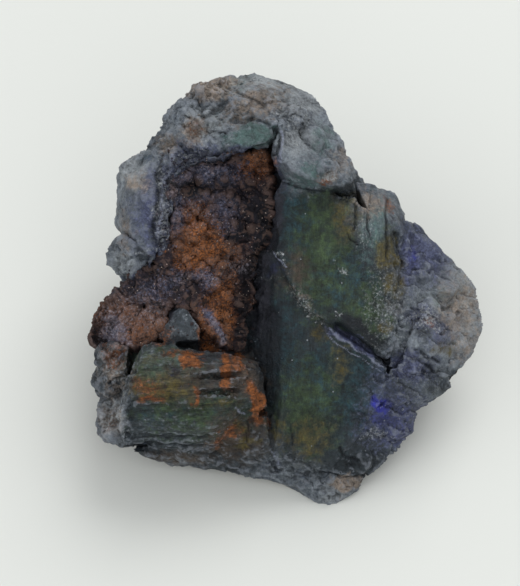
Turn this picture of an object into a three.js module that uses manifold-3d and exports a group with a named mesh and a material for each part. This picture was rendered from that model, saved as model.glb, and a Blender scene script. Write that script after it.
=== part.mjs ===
// An azurite specimen: a fist of large intergrown azurite crystals, part turned to green malachite,
// with rusty limonite matrix filling the recess between them. It stands on a flat broken face with
// its broad face leaning back.
//
// Millimetres, +Z up, -Y towards the broad face. The origin is on the resting face.
// Most corners are given on the broad face: x to the right, up along the face, out from it.
import * as THREE from "three";
import { ConvexGeometry } from "three/addons/geometries/ConvexGeometry.js";
import { ImprovedNoise } from "three/addons/math/ImprovedNoise.js";
import { TessellateModifier } from "three/addons/modifiers/TessellateModifier.js";
import { mergeVertices } from "three/addons/utils/BufferGeometryUtils.js";
import Module from "manifold-3d";

const wasm = await Module();
wasm.setup();

// Driving dimensions, in millimetres and degrees
const LEAN_DEG = 55; // how far the broad face's outward direction points above level
const FACE_MIDDLE_HEIGHT = 25; // the middle of the broad face above the resting face
const MATRIX_GAP = 0.35; // between the crystals and the matrix that fills their recess
const MATRIX_LUMP = 1.9; // radius of the matrix's middling lumps
const FACET_SIZE = 6.5; // longest edge of the broken-up faces on the broad face
const BACK_FACET_SIZE = 10; // the same, at the back and inside
const UNEVENNESS = 0.8; // how far those faces wander
const UNEVEN_SPACING = 5; // from one hollow of a face to the next

const lean = THREE.MathUtils.degToRad(LEAN_DEG);
const face = new THREE.Matrix4()
  .makeBasis(
    new THREE.Vector3(1, 0, 0),
    new THREE.Vector3(0, Math.sin(lean), Math.cos(lean)),
    new THREE.Vector3(0, -Math.cos(lean), Math.sin(lean)),
  )
  .setPosition(0, 0, FACE_MIDDLE_HEIGHT);

const onTable = (corners) => corners.map(([x, y, z]) => new THREE.Vector3(x, y, z));
const onFace = (corners) => onTable(corners).map((corner) => corner.applyMatrix4(face));

// A closed mesh as a solid that can be joined and cut.
function solidOf(geometry) {
  geometry.deleteAttribute("normal");
  geometry.deleteAttribute("uv");
  const merged = mergeVertices(geometry, 1e-4);
  return new wasm.Manifold(
    new wasm.Mesh({
      numProp: 3,
      vertProperties: new Float32Array(merged.attributes.position.array),
      triVerts: new Uint32Array(merged.index.array),
    }),
  );
}

// The flat-faced convex block that a list of corners spans.
const block = (points) => solidOf(new ConvexGeometry(points));

const noise = new ImprovedNoise();

// The same block with its faces broken up and made uneven, as weathered crystal is.
function crystal(points, facet = FACET_SIZE) {
  const geometry = new TessellateModifier(facet, 12).modify(new ConvexGeometry(points));
  const corners = geometry.attributes.position;
  const corner = new THREE.Vector3();
  for (let i = 0; i < corners.count; i++) {
    corner.fromBufferAttribute(corners, i);
    const { x, y, z } = corner.clone().divideScalar(UNEVEN_SPACING);
    corner.x += UNEVENNESS * noise.noise(x, y, z);
    corner.y += UNEVENNESS * noise.noise(y + 31, z, x);
    corner.z += UNEVENNESS * noise.noise(z, x + 57, y);
    corners.setXYZ(i, corner.x, corner.y, corner.z);
  }
  return solidOf(geometry);
}

// A solid's faces as geometry that can be shown.
function geometryOf(solid) {
  const mesh = solid.getMesh();
  const positions = new Float32Array(mesh.numVert * 3);
  for (let i = 0; i < mesh.numVert; i++)
    positions.set(mesh.vertProperties.subarray(i * mesh.numProp, i * mesh.numProp + 3), i * 3);
  const geometry = new THREE.BufferGeometry();
  geometry.setAttribute("position", new THREE.BufferAttribute(positions, 3));
  geometry.setIndex(new THREE.BufferAttribute(new Uint32Array(mesh.triVerts), 1));
  geometry.computeVertexNormals();
  return geometry;
}

// An irregular lump, for the matrix and for low swellings of the crystals.
function lump(x, up, out, radius) {
  const geometry = new THREE.IcosahedronGeometry(radius, 0).rotateX(x * 2).rotateY(up * 3);
  const corners = geometry.attributes.position;
  const corner = new THREE.Vector3();
  for (let i = 0; i < corners.count; i++) {
    corner.fromBufferAttribute(corners, i);
    const swell = 1 + 0.45 * noise.noise(corner.x + x, corner.y + up, corner.z + out);
    corners.setXYZ(i, x + corner.x * swell, up + corner.y * swell, out + corner.z * swell * 0.8);
  }
  geometry.applyMatrix4(face);
  return solidOf(geometry);
}

// The inside of the stone, from the resting face up to just behind the broad face
const HEART = [
  onTable([
    [5, -23, 0], [13, -18, 0], [19, -7, 0], [21, 5, 0], [14, 20, 0], [0, 26, 0],
    [-14, 24, 0], [-23, 12, 0], [-24, -2, 0], [-17, -15.5, 0], [-6, -18, 0],
    [-8, 32, 14], [8, 28, 15], [-20, 24, 16], [20, 12, 14],
    [-14, 27, 31], [-4, 29, 32], [3, 26, 31], [-20, 17, 27], [13, 13, 26],
    [23, 0, 14], [-24, -6, 12], [14, -14, 8], [-25, 15, 24], [-25, 4, 15],
  ]),
  onFace([
    [-27, 17, -7], [-25.8, 20.2, -7], [-21.8, 23.6, -8], [-18.4, 29, -10], [-10, 33, -12], [4, 29, -12],
    [9, 20, -9], [9.4, 17, -7], [18, 8, -6], [18, -10, -4], [-20, -8, -4], [-26, 10, -7], [-25.3, 1, -6],
    [-20, 18, -4], [-5, 18, -3], [10, 10, -3], [15, 2, -3],
    [-20, 20, -16], [5, 22, -18], [16, 0, -14], [-22, 0, -12],
  ]),
  onFace([
    [-25.3, 0.6, -7], [-29.6, -5.5, -8], [-30.8, -14, -7.5], [-30, -22, -7], [-26, -25, -7],
    [-19, -26.8, -9.5], [-10, -27.2, -9.8], [0, -30, -9], [6.5, -33.6, -6.8], [10, -31.8, -7.5],
    [15, -26.8, -8.2],
    [20.6, -19.4, -8.8], [26.5, -13.2, -10], [26.5, -8, -10], [18, 0, -6],
    [-22, -10, -3], [-22, -24, -3], [0, -28, -5], [14, -20, -3], [20, -8, -4.5],
    [-20, -8, -14], [14, -10, -14],
  ]),
];

// Crystals at the back and sides, which lean on the inside
const BACK = {
  back_slab: [
    [-15, 31, 6], [3, 34, 7], [9, 29, 6], [6, 31.5, 27], [-13, 32.5, 29], [-16, 29, 24], [0, 34.5, 20],
    [-12, 20, 5], [8, 18, 5], [0, 22, 30],
  ],
  back_left: [
    [-26, 8, 5], [-24, 21, 4], [-27, 13, 21], [-24, 24, 23], [-19, 29, 19], [-19, 28, 6], [-26.5, 10, 14],
    [-12, 10, 5], [-12, 20, 24],
  ],
  back_right: [
    [9, 27, 3], [21, 14, 3], [24, 5, 9], [22, 13, 11], [17, 18, 21], [11, 20, 25.5], [13, 27, 12],
    [23, 2, 3], [6, 10, 4], [8, 14, 24],
  ],
};

// The crystals that show on the broad face
const CRYSTALS = {
  lower_plate: [
    [-2.5, 6, 0.5], [-1, -6, 0.8], [-1.5, -18, 0.5], [-2.5, -26, -1.5],
    [0.5, -0.5, 1.2], [6, -6, 1.8], [15.5, -12.5, 0.8], [15.3, -17, 0], [11, -21, -0.8],
    [9.5, -25, -1.8], [7, -28.5, -3], [2, -29.5, -4], [-2.5, -28.5, -4],
    [-6.6, 6, -3.6], [-7.2, -8, -3.6], [-5, -20, -4], [-4, -27, -6],
    [0, 5, -12], [15, -12, -12], [8, -27, -12], [-3, -25, -12],
  ],
  upper_plate: [
    [-1.5, 17, 1], [2, 16.2, 1.2], [6, 16, 0.8], [11, 14, 0], [14, 12, -0.8],
    [17.5, 6, -1.8], [18, 0.5, -2], [17, -6, -1.5], [15.5, -10.5, -0.5],
    [-1.6, 5, 1.8], [0, 0.8, 2.4], [2.5, -2.7, 2.8], [5, -4.6, 3], [7, -4.8, 3], [10, -6.5, 2.4],
    [13.5, -9.5, 1.2], [-2.6, 14, 0.8], [-3.2, 10, 0],
    [-4.3, 12, -3.2], [-5.6, 7, -3.4],
    [0, 15, -12], [17, 5, -12], [14, -9, -12], [0, 0, -12],
  ],
  right_prism: [
    [11, 17, -4], [14, 16.2, -4.5], [16.7, 15.5, -5], [17.7, 14.5, -5.5], [18.3, 11, -5],
    [18.2, 5, -4.5], [18, 0.5, -3.5], [13, 12, -0.8], [16, 9, -0.8], [16.5, 2, -0.8], [13, 2, 0],
    [12, 14, -14], [18, 10, -14], [17, 2, -12],
  ],
  cap_right: [
    [-2.3, 20.3, 4], [0.5, 19.2, 4.2], [3, 18, 4], [6, 17.2, 3.5], [8, 17.3, 2.5],
    [10, 17.6, -0.5], [10.1, 19, -1.5], [9.8, 21.3, -2.5], [8.2, 23.3, -3], [6.5, 24.5, -4],
    [6.2, 26, -5.5], [4.5, 30.8, -8], [6, 28.6, -7.5], [-1.9, 24, 3.2], [-2, 27, 1.5],
    [-1.7, 17, -1], [6, 15.5, -1], [10, 15, -4], [0, 28, -14], [8, 20, -14], [0, 18, -10],
  ],
  cap_left: [
    [-14.5, 20.7, 2.5], [-11, 20.2, 3.2], [-8, 21, 3.2], [-5, 21.9, 3], [-3, 22.6, 2.5],
    [-13.5, 24.5, 1.5], [-9, 26.6, 1], [-4, 27, 1], [-2.8, 26.3, 1.5],
    [-17, 25, -0.5], [-15, 29, -2.5], [-11, 31.5, -4], [-5, 32.5, -5], [0, 31, -5], [3.5, 30.5, -6.5],
    [-20.9, 25.2, -6], [-20.5, 27.5, -7.5], [-18.2, 30.3, -8], [-15.6, 33.2, -9.5], [-14.2, 34.1, -10],
    [-10, 34.9, -11], [-5.8, 35.4, -11], [-3, 34.8, -11], [0.2, 33.4, -10.5], [4.5, 31.1, -9.5],
    [-15, 26, -18], [0, 27, -18], [-17, 21, -8], [-4, 21.5, -8],
  ],
  column: [
    [-25, 21.8, -5], [-23, 22.6, -5.5], [-21, 22.5, -2], [-21.5, 19, 0], [-24, 18.5, -0.8],
    [-26.5, 18.5, -3], [-27.9, 18.3, -6], [-21.3, 10, 0.5], [-21.5, 4, 0], [-24.5, 15, 0],
    [-25.5, 10, -0.5], [-27.7, 10.8, -5.5], [-27.8, 16, -5.5],
    [-23, 18, -14], [-24, 5, -14],
  ],
  ridge: [
    [-21.8, 24.2, -3.5], [-19, 24.6, -1.5], [-17, 22, 0.4], [-15.3, 20.6, 1.2], [-18.6, 19, 1],
    [-20.2, 16, 1.2], [-20.6, 11, 1.3], [-20.4, 6, 0.6], [-22.6, 19, -1.2], [-22.4, 8, -0.8],
    [-18.8, 18, -3], [-20, 10, -3], [-20, 24, -10], [-21, 6, -10],
  ],
  column_foot: [
    [-29, 5, -5.5], [-28.9, 6.5, -5.5], [-28.6, 3.6, -5.5], [-27.8, 8.6, -4.5], [-27.3, 8.5, -2],
    [-26, 4, -1], [-26.2, 0.1, -5], [-24, 1, -2], [-22, 8, -1], [-22, 2, -2], [-24, 3, -14],
    [-23, 9, -14],
  ],
  grey_wedge: [
    [-21.3, -7.8, 0.5], [-18.8, -2.3, 0.4], [-16.9, -1.6, 0.7], [-15.6, -2.2, 1], [-14, -6.3, 2],
    [-14.2, -7.8, 2.4], [-19.5, -8.6, 1.6], [-18, -3.5, -9], [-20, -8, -9], [-14.5, -8, -9],
  ],
  block: [
    [-23.5, -9.2, 1], [-21, -8.5, 1.5], [-14, -9.6, 2.5], [-8, -10.2, 2.5], [-5, -11.3, 1],
    [-24, -11, 4], [-15, -11, 5.5], [-8, -11.5, 5], [-5, -13, 3],
    [-4.2, -15.5, 2], [-4, -19, 1.5], [-5, -20.3, 1], [-25.5, -15, 5], [-24, -17, 6.5],
    [-10, -17, 6.5], [-6, -18, 4.5], [-26.5, -20, 5.5], [-12, -21.5, 5],
    [-26.5, -25, 1.5], [-20, -25.5, 1.5], [-12, -25.2, 1], [-11, -22.6, 3],
    [-28, -20.5, 2.5], [-27.8, -19.5, 2.5], [-26, -14.5, 2], [-25.2, -12, 1.5],
    [-24, -12, -8], [-8, -13, -8], [-10, -22, -8], [-24, -22, -8],
  ],
  left_shoulder: [
    [-30.9, -8.5, -6], [-31.8, -11.5, -6], [-32, -14.8, -6], [-30.8, -16.3, -6],
    [-29, -8, -2], [-26, -8, -1], [-26, -14, 0], [-29.5, -14, -1.5], [-26, -17, -1],
    [-25, -9, -14], [-25, -16, -14],
  ],
  left_foot: [
    [-30.6, -16.5, -6], [-30.5, -19, -6], [-31, -21.5, -6], [-30.8, -23, -6], [-29.2, -24.5, -5],
    [-27.2, -25.4, -4], [-28.5, -17, -2], [-29, -21, -2], [-26, -24, -2], [-26, -16, -2],
    [-25, -18, -14], [-22, -25, -12],
  ],
  sill: [
    [-25.4, -25.9, -3.5], [-23.5, -26.8, -5], [-19.8, -26.8, -5], [-19, -25, -2],
    [-19.5, -27.7, -8], [-15, -28, -9], [-16, -26, -3], [-12, -25.5, -2], [-10, -28, -9],
    [-23, -20, -14], [-10, -20, -14], [-20, -25, -12],
  ],
  low_middle: [
    [-11, -22.5, 1], [-8.5, -21, 1.2], [-4, -20.3, 0.5], [-3.2, -23.5, 0.3], [-7, -24.8, 0.5],
    [-12, -25.5, -2], [-4, -25.5, -1.5], [-3, -29.5, -5], [-12, -27.8, -8],
    [-10, -20, -12], [-3, -22, -12],
  ],
  toe: [
    [-2, -28.8, -4.6], [6.5, -28.7, -3.3], [12.5, -29.8, -6], [-2, -30.9, -8.8],
    [1, -32, -8.2], [4.5, -34.5, -6.4], [6.1, -35, -6.2], [6.9, -35.1, -6.2], [9, -32.9, -7],
    [11.3, -32, -7.4], [8, -25, -3.5], [5, -24, -12],
  ],
  toe_left: [
    [-11, -27.9, -10.4], [-5.5, -29.2, -9.6], [-1.5, -31, -8.8], [-4, -29, -5.5], [-9, -27, -6.5],
    [0, -28.5, -4.8], [-8, -24, -8], [0, -26, -12],
  ],
  lower_right: [
    [16.5, -12.5, 0], [22, -14, -2.5], [20.5, -18.5, -4.6], [14, -18, -1], [27.2, -13.5, -9],
    [25.6, -16.2, -8.5], [23.8, -17.6, -8.5], [21.2, -19.3, -8], [20, -12, -14], [12, -18, -12],
  ],
  lower_edge: [
    [14, -16, -0.8], [19.5, -17.5, -4], [9.6, -22, -1.5], [8, -28, -3.5], [21, -19.9, -7.8],
    [20.2, -22.9, -7.5], [15.4, -27.4, -7.5], [12.8, -30.1, -7.5], [10, -24, -12], [4, -20, -10],
    [18, -16, -12],
  ],
  wing: [
    [18.3, 11, -5], [18.3, 4, -3.5], [19, -1, -3], [21, -6, -3.2], [16, -12, -1],
    [18.6, 11.6, -7], [20.3, 10.6, -8], [22.3, 8.7, -9], [25.3, 5.5, -10], [28.9, 2.5, -10.5],
    [29.8, 0.4, -10.8], [31, -3.2, -11], [31.6, -7, -11], [29.6, -9.9, -10.5], [27.6, -11.3, -10],
    [27, -13.5, -9],
    [24, 0, -6.5], [25, -7, -6], [18, 8, -14], [26, -6, -16], [18, -10, -14],
  ],
  wing_knob: [
    [20, -5, -1.5], [22.5, -3, -2], [26.5, -6.3, -4], [21, -6.8, -2], [22, -5, -8],
    [17.5, -13, 0.6], [19, -11, 0.4], [21.5, -12, -0.8], [20, -14, -0.8], [19, -12, -8],
  ],
};

// Low swellings of the crystals' faces: x, up and out of the top, and how far it stands up
const KNOBS = [
  [-16.5, 27.5, -1.2, 1.6], [-13, 30, -3, 1.8], [-12.5, 26.5, 0.6, 1.3], [-9, 29, -1.6, 1.7],
  [-6, 30.5, -3, 1.5], [-3, 29, -1.5, 1.3], [-14.2, 31, -6, 1.2], [-11, 32, -6, 1.2],
  [-17.5, 24.5, -0.8, 1.3], [-5.5, 27.8, 0, 1], [1, 27.5, 0.2, 1.2], [3.5, 24, 0.6, 1.2],
  [6, 18.6, 3.4, 1.1], [-18.5, 26.2, -3.6, 1], [-25, 19.5, -2.6, 1.2], [-22.3, 14.5, 0.2, 1.2],
  [-24.6, 6.5, -0.8, 1.3], [-21.3, 9, 0.9, 1], [-17.6, 20.6, 0.9, 1.1], [-29.5, -10.5, -2.4, 1.4],
  [-28.6, -15, -1, 1.3], [-28.8, -19, -2.6, 1], [-28, -22.3, -1.8, 1], [22.5, -3.5, -1.9, 1.2],
  [24.5, -5.2, -2.8, 1.2], [21, -8, -2.4, 1.3], [19.5, -12, 0, 1.2], [24.5, -1, -6, 1.5],
  [21, 3, -4.8, 1.3], [26.5, -9, -8, 1.5], [24.8, 2.6, -8, 1.3], [17, -17, -1.4, 1.2],
  [16.8, -22, -4.6, 1.3], [11.5, -27.5, -4.4, 1.2], [9.3, -30.8, -6.8, 1.2], [-22, -25.4, -3.4, 0.8],
  [-14, -25.8, -4, 0.9], [-8, -26.8, -6.3, 1.2],
];

// Clefts: the groove between the two plates, and the slots across the block crystal
const CLEFTS = {
  fissure: [
    [7, -4.6, 4.5], [9, -5, 4.5], [15.5, -10.1, 3], [6.6, -6.8, 4.5], [12, -10.2, 4], [15.6, -12.6, 3],
    [7, -5.7, -0.6], [10, -8, -1.2], [15.3, -11.8, -0.8],
  ],
  block_slot: [
    [-15, -13, 7], [-6.5, -12.8, 7], [-15, -14.3, 7], [-6.5, -14.2, 7], [-14.3, -13.7, 4.4],
    [-7, -13.5, 3.4],
  ],
  block_lower_slot: [
    [-14.5, -15.5, 8], [-6, -15.2, 8], [-14.5, -17.2, 8], [-6, -16.8, 8], [-14, -16.3, 5.2],
    [-6.5, -16, 4],
  ],
};

// The recess that the matrix fills, as overlapping corner lists on the broad face
const RECESS = {
  upper: [
    [-18.6, 18.5], [-15.5, 20.8], [-3.2, 21.2], [-2.7, 14], [-5, 8.5], [-6.3, 2], [-20, 2], [-20.3, 9],
  ],
  lower: [
    [-20, 6], [-6, 6], [-7.2, -4], [-8, -9], [-10.5, -9.3], [-13.3, -6.5], [-15.2, -1.8], [-20, -0.5],
  ],
  left: [
    [-17, 5], [-22, 3.6], [-25.8, 0.4], [-31, -4.4], [-31.4, -8.2], [-24, -9.2], [-21.8, -7.8],
    [-19, -2.2], [-16, -1],
  ],
};
const RECESS_FLOOR = -9;
const RECESS_TOP = 5;

// The matrix's surface: how far out it stands at places on the broad face
const MATRIX_SURFACE = [
  [-17, 19, -2.4], [-10, 19.5, -2.2], [-4.5, 19, -2.2], [-4.5, 13, -2.6], [-10, 14, -1.8],
  [-16, 14, -1.4], [-18, 8, -0.8], [-13, 8, 0.2], [-7.5, 8, -1.4], [-14, 2, 0], [-8, 1, -1.2],
  [-18, 2, -0.8], [-11, -4, -0.6], [-8.5, -7, -1.4], [-15, -5, -1.6], [-22, 1, -1.8], [-24, -5, -2],
  [-28, -6, -4],
];
const MATRIX_BED = [
  [[-19, 19], [-15, 21], [-3, 21], [-2.6, 13], [-6, 2], [-20, 3], [-20, 9]],
  [[-20, 5], [-6, 5], [-7.8, -9], [-11, -9.3], [-14.5, -3], [-20, -1]],
  [[-17, 4.5], [-22, 3.5], [-26, 0], [-31, -4.8], [-31.2, -8.2], [-22, -8.8], [-19.5, -2.5]],
];

// Lumps where the matrix comes out at the left edge of the stone: x, up, out, radius
const SEAM_END = [
  [-29.5, -6.8, -6.5, 2], [-28.8, -4.6, -7.5, 1.8], [-27.2, -2.6, -6.5, 1.8], [-29.8, -5.6, -9, 1.8],
];

// The height of the matrix at a place, shared out among the places where it is known.
function matrixHeight(x, up) {
  let weights = 0;
  let sum = 0;
  for (const [atX, atUp, out] of MATRIX_SURFACE) {
    const weight = 1 / (0.5 + (x - atX) ** 2 + (up - atUp) ** 2) ** 2;
    weights += weight;
    sum += weight * out;
  }
  return sum / weights;
}

// Whether a place lies inside an outline that runs round in order.
function holds(outline, x, up) {
  let inside = false;
  outline.forEach(([x1, up1], i) => {
    const [x2, up2] = outline[(i + 1) % outline.length];
    if (up1 > up !== up2 > up && x < x1 + ((up - up1) / (up2 - up1)) * (x2 - x1)) inside = !inside;
  });
  return inside;
}

// A straight-sided block over an outline, drawn in by an inset all round and at its floor.
function prismOf(outline, inset) {
  const middle = new THREE.Vector2();
  for (const [x, up] of outline) middle.add(new THREE.Vector2(x, up).divideScalar(outline.length));
  const corners = outline.flatMap(([x, up]) => {
    const reach = Math.hypot(x - middle.x, up - middle.y);
    const share = (reach - inset) / reach;
    const at = [middle.x + (x - middle.x) * share, middle.y + (up - middle.y) * share];
    return [[...at, RECESS_FLOOR + inset], [...at, RECESS_TOP]];
  });
  return block(onFace(corners));
}

// A stone with the hollows that are sealed inside it filled in.
const filled = (stone) => wasm.Manifold.union(stone.decompose().filter((shell) => shell.volume() > 0));

// The crystals joined in one stone, with the clefts and the recess cut out of it.
function makeAzurite() {
  const grown = Object.values(CRYSTALS).map((corners) => crystal(onFace(corners)));
  const behind = [...HEART, ...Object.values(BACK).map(onTable)];
  const inside = behind.map((points) => crystal(points, BACK_FACET_SIZE));
  const knobs = KNOBS.map(([x, up, out, radius]) => lump(x, up, out - radius, radius * 2));
  let stone = wasm.Manifold.union([...inside, ...grown, ...knobs]);
  for (const corners of Object.values(CLEFTS)) stone = stone.subtract(block(onFace(corners)));
  for (const outline of Object.values(RECESS)) stone = stone.subtract(prismOf(outline, 0));
  const ground = wasm.Manifold.cube([120, 120, 20], true).translate([0, 0, -10]);
  return filled(stone.subtract(ground));
}

// The rusty matrix: its beds and their lumps, held inside the recess.
function makeMatrix() {
  const beds = MATRIX_BED.map((outline) => {
    const top = outline.map(([x, up]) => [x, up, matrixHeight(x, up) - 2]);
    const bottom = outline.map(([x, up]) => [x, up, RECESS_FLOOR - 2]);
    return block(onFace([...top, ...bottom]));
  });
  const lumps = [];
  const spacing = MATRIX_LUMP * 1.6;
  for (let row = 0; row * spacing < 32; row++) {
    for (let column = 0; column * spacing < 30; column++) {
      const seed = row * 37 + column * 11;
      const x = -31.5 + (column + (row % 2) / 2) * spacing + 0.5 * Math.sin(seed * 12.9);
      const up = -10 + row * spacing * 0.9 + 0.5 * Math.sin(seed * 78.2);
      const radius = MATRIX_LUMP * (1 + 0.35 * Math.sin(seed * 4.7));
      if (MATRIX_BED.some((outline) => holds(outline, x, up)))
        lumps.push(lump(x, up, matrixHeight(x, up) - radius * 0.75, radius));
    }
  }
  for (const [x, up, out, radius] of SEAM_END) lumps.push(lump(x, up, out, radius));
  const rooms = Object.values(RECESS).map((outline) => prismOf(outline, MATRIX_GAP * 1.5));
  return filled(wasm.Manifold.union([...beds, ...lumps]).intersect(wasm.Manifold.union(rooms)));
}

const specimen = new THREE.Group();

// Puts a solid into the specimen under its name.
function add(name, solid, colour, roughness) {
  const mesh = new THREE.Mesh(
    geometryOf(solid),
    new THREE.MeshStandardMaterial({ color: colour, roughness, metalness: 0, flatShading: true }),
  );
  mesh.name = name;
  specimen.add(mesh);
}
add("azurite_crystals", makeAzurite(), 0x26323c, 0.45);
add("limonite_matrix", makeMatrix(), 0x6b4028, 0.9);

export default specimen;
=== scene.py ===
# An azurite specimen: its looks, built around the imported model.
import logging
import math
from collections.abc import Iterator
from contextlib import contextmanager
from dataclasses import dataclass, field
from enum import Enum

import bmesh
import bpy
import numpy as np
from mathutils import Matrix, Vector


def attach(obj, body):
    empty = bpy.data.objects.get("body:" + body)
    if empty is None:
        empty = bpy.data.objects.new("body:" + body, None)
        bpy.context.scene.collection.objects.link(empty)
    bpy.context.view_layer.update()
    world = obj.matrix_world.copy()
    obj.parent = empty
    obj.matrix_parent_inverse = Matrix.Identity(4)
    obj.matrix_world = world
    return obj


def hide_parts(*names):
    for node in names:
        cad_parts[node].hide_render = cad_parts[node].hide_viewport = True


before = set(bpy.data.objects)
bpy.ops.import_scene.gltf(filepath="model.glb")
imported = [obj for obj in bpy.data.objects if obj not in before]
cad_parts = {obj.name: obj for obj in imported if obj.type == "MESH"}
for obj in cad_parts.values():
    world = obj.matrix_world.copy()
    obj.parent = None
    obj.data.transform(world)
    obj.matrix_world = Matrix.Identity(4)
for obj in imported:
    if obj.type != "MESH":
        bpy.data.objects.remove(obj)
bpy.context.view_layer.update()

LOG = logging.getLogger("azurite_specimen")
MM = 0.001


class Stain(Enum):
    """The tints that the stone's surface takes in places, some of them painted light or shade."""

    # pale haze, partly dust and partly painted sheen on the faces that point up
    DUST_AND_SHEEN = "haze"
    # pale crust, partly painted sheen on the cap's top, the wing and the left foot
    FROST_AND_SHEEN = "frost"
    GREEN = "green"
    TEAL = "teal"
    JADE = "jade"
    OCHRE = "ochre"
    RUST = "rust"
    BROWN = "brown"
    # a dark plum tone, mostly painted shade along the recess and beside the plates' wall
    PLUM_AND_SHADE = "plum"
    VIOLET = "violet"
    BLUE = "blue"
    TAN = "tan"
    PALE = "pale"
    # painted shade: cracks, the fissure's shadow, shaded flanks and facets, and the recess's rim
    DARK = "dark"


class Relief(Enum):
    """The ways in which a face of the stone is uneven."""

    FLAT = "flat"
    RIBBED = "ribbed"
    COMBED = "combed"
    LEDGED = "ledged"
    CRUMBLED = "crumbled"
    SMOOTH = "smooth"
    BROKEN = "broken"


class ShadeAndWear(Enum):
    """What a surface's own shape does to its colour: painted shade in its hollows, and lighter edges and
    ridges.
    """

    # painted shade in hollows
    HOLLOW_SHADE = "hollow"
    # lighter edges, partly rubbed and partly painted sheen
    EDGE = "edge"
    # raised ridges, pale partly as chipped edges and partly as painted highlight
    LINE = "ridge_and_highlight"


def smoothstep(low: float, high: float, value: np.ndarray) -> np.ndarray:
    """Rises smoothly from 0 at low to 1 at high.

    Args:
        low: Where the result leaves 0.
        high: Where the result reaches 1.
        value: The values to read.

    Returns:
        A value from 0 to 1 for each one read.
    """
    share = np.clip((value - low) / (high - low), 0.0, 1.0)
    return share * share * (3.0 - 2.0 * share)


def tone(code: str) -> tuple[float, float, float, float]:
    """Turns a six-digit screen colour into the linear colour that a shader takes.

    Args:
        code: Two hexadecimal digits each for red, green and blue.

    Returns:
        The linear red, green and blue, and an alpha of 1.
    """
    values = [int(code[i : i + 2], 16) / 255 for i in (0, 2, 4)]
    linear = [v / 12.92 if v <= 0.04045 else ((v + 0.055) / 1.055) ** 2.4 for v in values]
    return (*linear, 1.0)


def place_object(name: str, data: bpy.types.ID) -> bpy.types.Object:
    """Puts a mesh, a light or a camera in the scene.

    Args:
        name: The new object's name.
        data: What the object shows.

    Returns:
        The new object, unturned at the origin.
    """
    made = bpy.data.objects.new(name, data)
    bpy.context.scene.collection.objects.link(made)
    return made


@contextmanager
def shaping(mesh: bpy.types.Mesh) -> Iterator[bmesh.types.BMesh]:
    """Opens a mesh for bmesh operators and writes the result back.

    Args:
        mesh: The mesh to shape.

    Yields:
        The open mesh.
    """
    shape = bmesh.new()
    shape.from_mesh(mesh)
    yield shape
    shape.to_mesh(mesh)
    shape.free()


def read_values(rows: bpy.types.bpy_prop_collection, name: str, wide: int = 1) -> np.ndarray:
    """Reads one property of every vertex or face at once.

    Args:
        rows: The mesh's vertices, faces or attribute values.
        name: The property to read.
        wide: How many numbers it has.

    Returns:
        One number, or one row of numbers, for each.
    """
    values = np.empty(len(rows) * wide, np.float32)
    rows.foreach_get(name, values)
    return values.reshape(-1, wide).astype(float) if wide > 1 else values


def carry(mesh: bpy.types.Mesh, name: str, values: np.ndarray) -> None:
    """Gives every vertex of a mesh a value under a name.

    Args:
        mesh: The mesh that carries the values.
        name: The name that the materials read.
        values: One value for each vertex.
    """
    attribute = mesh.attributes.new(name, "FLOAT", "POINT")
    attribute.data.foreach_set("value", np.asarray(values).astype(np.float32))


@dataclass(frozen=True)
class BroadFace:
    """The broad crystal face that leans back: x to the right, up along it, out from it, in mm.

    Attributes:
        lean: How far the face's outward direction points above level, in degrees.
        middle_height: The middle of the face above the resting face, in mm.
    """

    lean: float = 55.0
    middle_height: float = 25.0

    def turn(self) -> Matrix:
        """Gives the face's own directions.

        Returns:
            A matrix with x, up and out as its columns.
        """
        angle = math.radians(self.lean)
        return Matrix(
            (
                (1.0, 0.0, 0.0),
                (0.0, math.sin(angle), -math.cos(angle)),
                (0.0, math.cos(angle), math.sin(angle)),
            )
        )

    def outwards(self) -> Vector:
        """The direction straight out from the face."""
        return self.turn() @ Vector((0, 0, 1))

    def place(self, x: float, up: float, out: float = 0.0) -> Vector:
        """The point of the row frame, in metres, at a place on the face given in mm."""
        return (self.turn() @ Vector((x, up, out)) + Vector((0, 0, self.middle_height))) * MM

    def read(self, points: np.ndarray) -> np.ndarray:
        """Finds the places on the face, in mm, of points in metres.

        Args:
            points: One row of x, y, z for each point.

        Returns:
            One row of x, up and out for each point.
        """
        away = points / MM - np.array((0.0, 0.0, self.middle_height))
        return away @ np.array(self.turn())

    def read_directions(self, directions: np.ndarray) -> np.ndarray:
        """Directions of the row frame as directions on the face."""
        return directions @ np.array(self.turn())


FACE = BroadFace()


@dataclass(frozen=True)
class Spot:
    """A soft-edged oval on the broad face, in mm and degrees.

    Attributes:
        x: Its middle, to the right.
        up: Its middle, up the face.
        wide: Half of its length along its own turn.
        high: Half of its length across that.
        turn: Which way it is turned, from x towards up.
        strength: Its value in the middle.
        edge: The share of its size over which it fades out.
    """

    x: float
    up: float
    wide: float
    high: float
    turn: float = 0.0
    strength: float = 1.0
    edge: float = 0.5

    def cover(self, x: np.ndarray, up: np.ndarray) -> np.ndarray:
        """How much of the spot lies at each place.

        Args:
            x: Places to the right.
            up: Places up the face.

        Returns:
            A value from 0 to the spot's strength for each place.
        """
        angle = math.radians(self.turn)
        along = (x - self.x) * math.cos(angle) + (up - self.up) * math.sin(angle)
        across = (up - self.up) * math.cos(angle) - (x - self.x) * math.sin(angle)
        reach = np.hypot(along / self.wide, across / self.high)
        return self.strength * (1.0 - smoothstep(1.0 - self.edge, 1.0 + self.edge, reach))


def spots(*rows: tuple[float, ...]) -> tuple[Spot, ...]:
    """Makes spots from rows of x, up, wide, high, turn, strength and edge."""
    return tuple(Spot(*row) for row in rows)


def combine(area: tuple[Spot, ...], x: np.ndarray, up: np.ndarray) -> np.ndarray:
    """Finds the strongest of several spots at each place.

    Args:
        area: The spots.
        x: Places to the right.
        up: Places up the face.

    Returns:
        A value from 0 to 1 for each place.
    """
    cover = np.zeros(len(x))
    for spot in area:
        cover = np.maximum(cover, spot.cover(x, up))
    return cover


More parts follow.
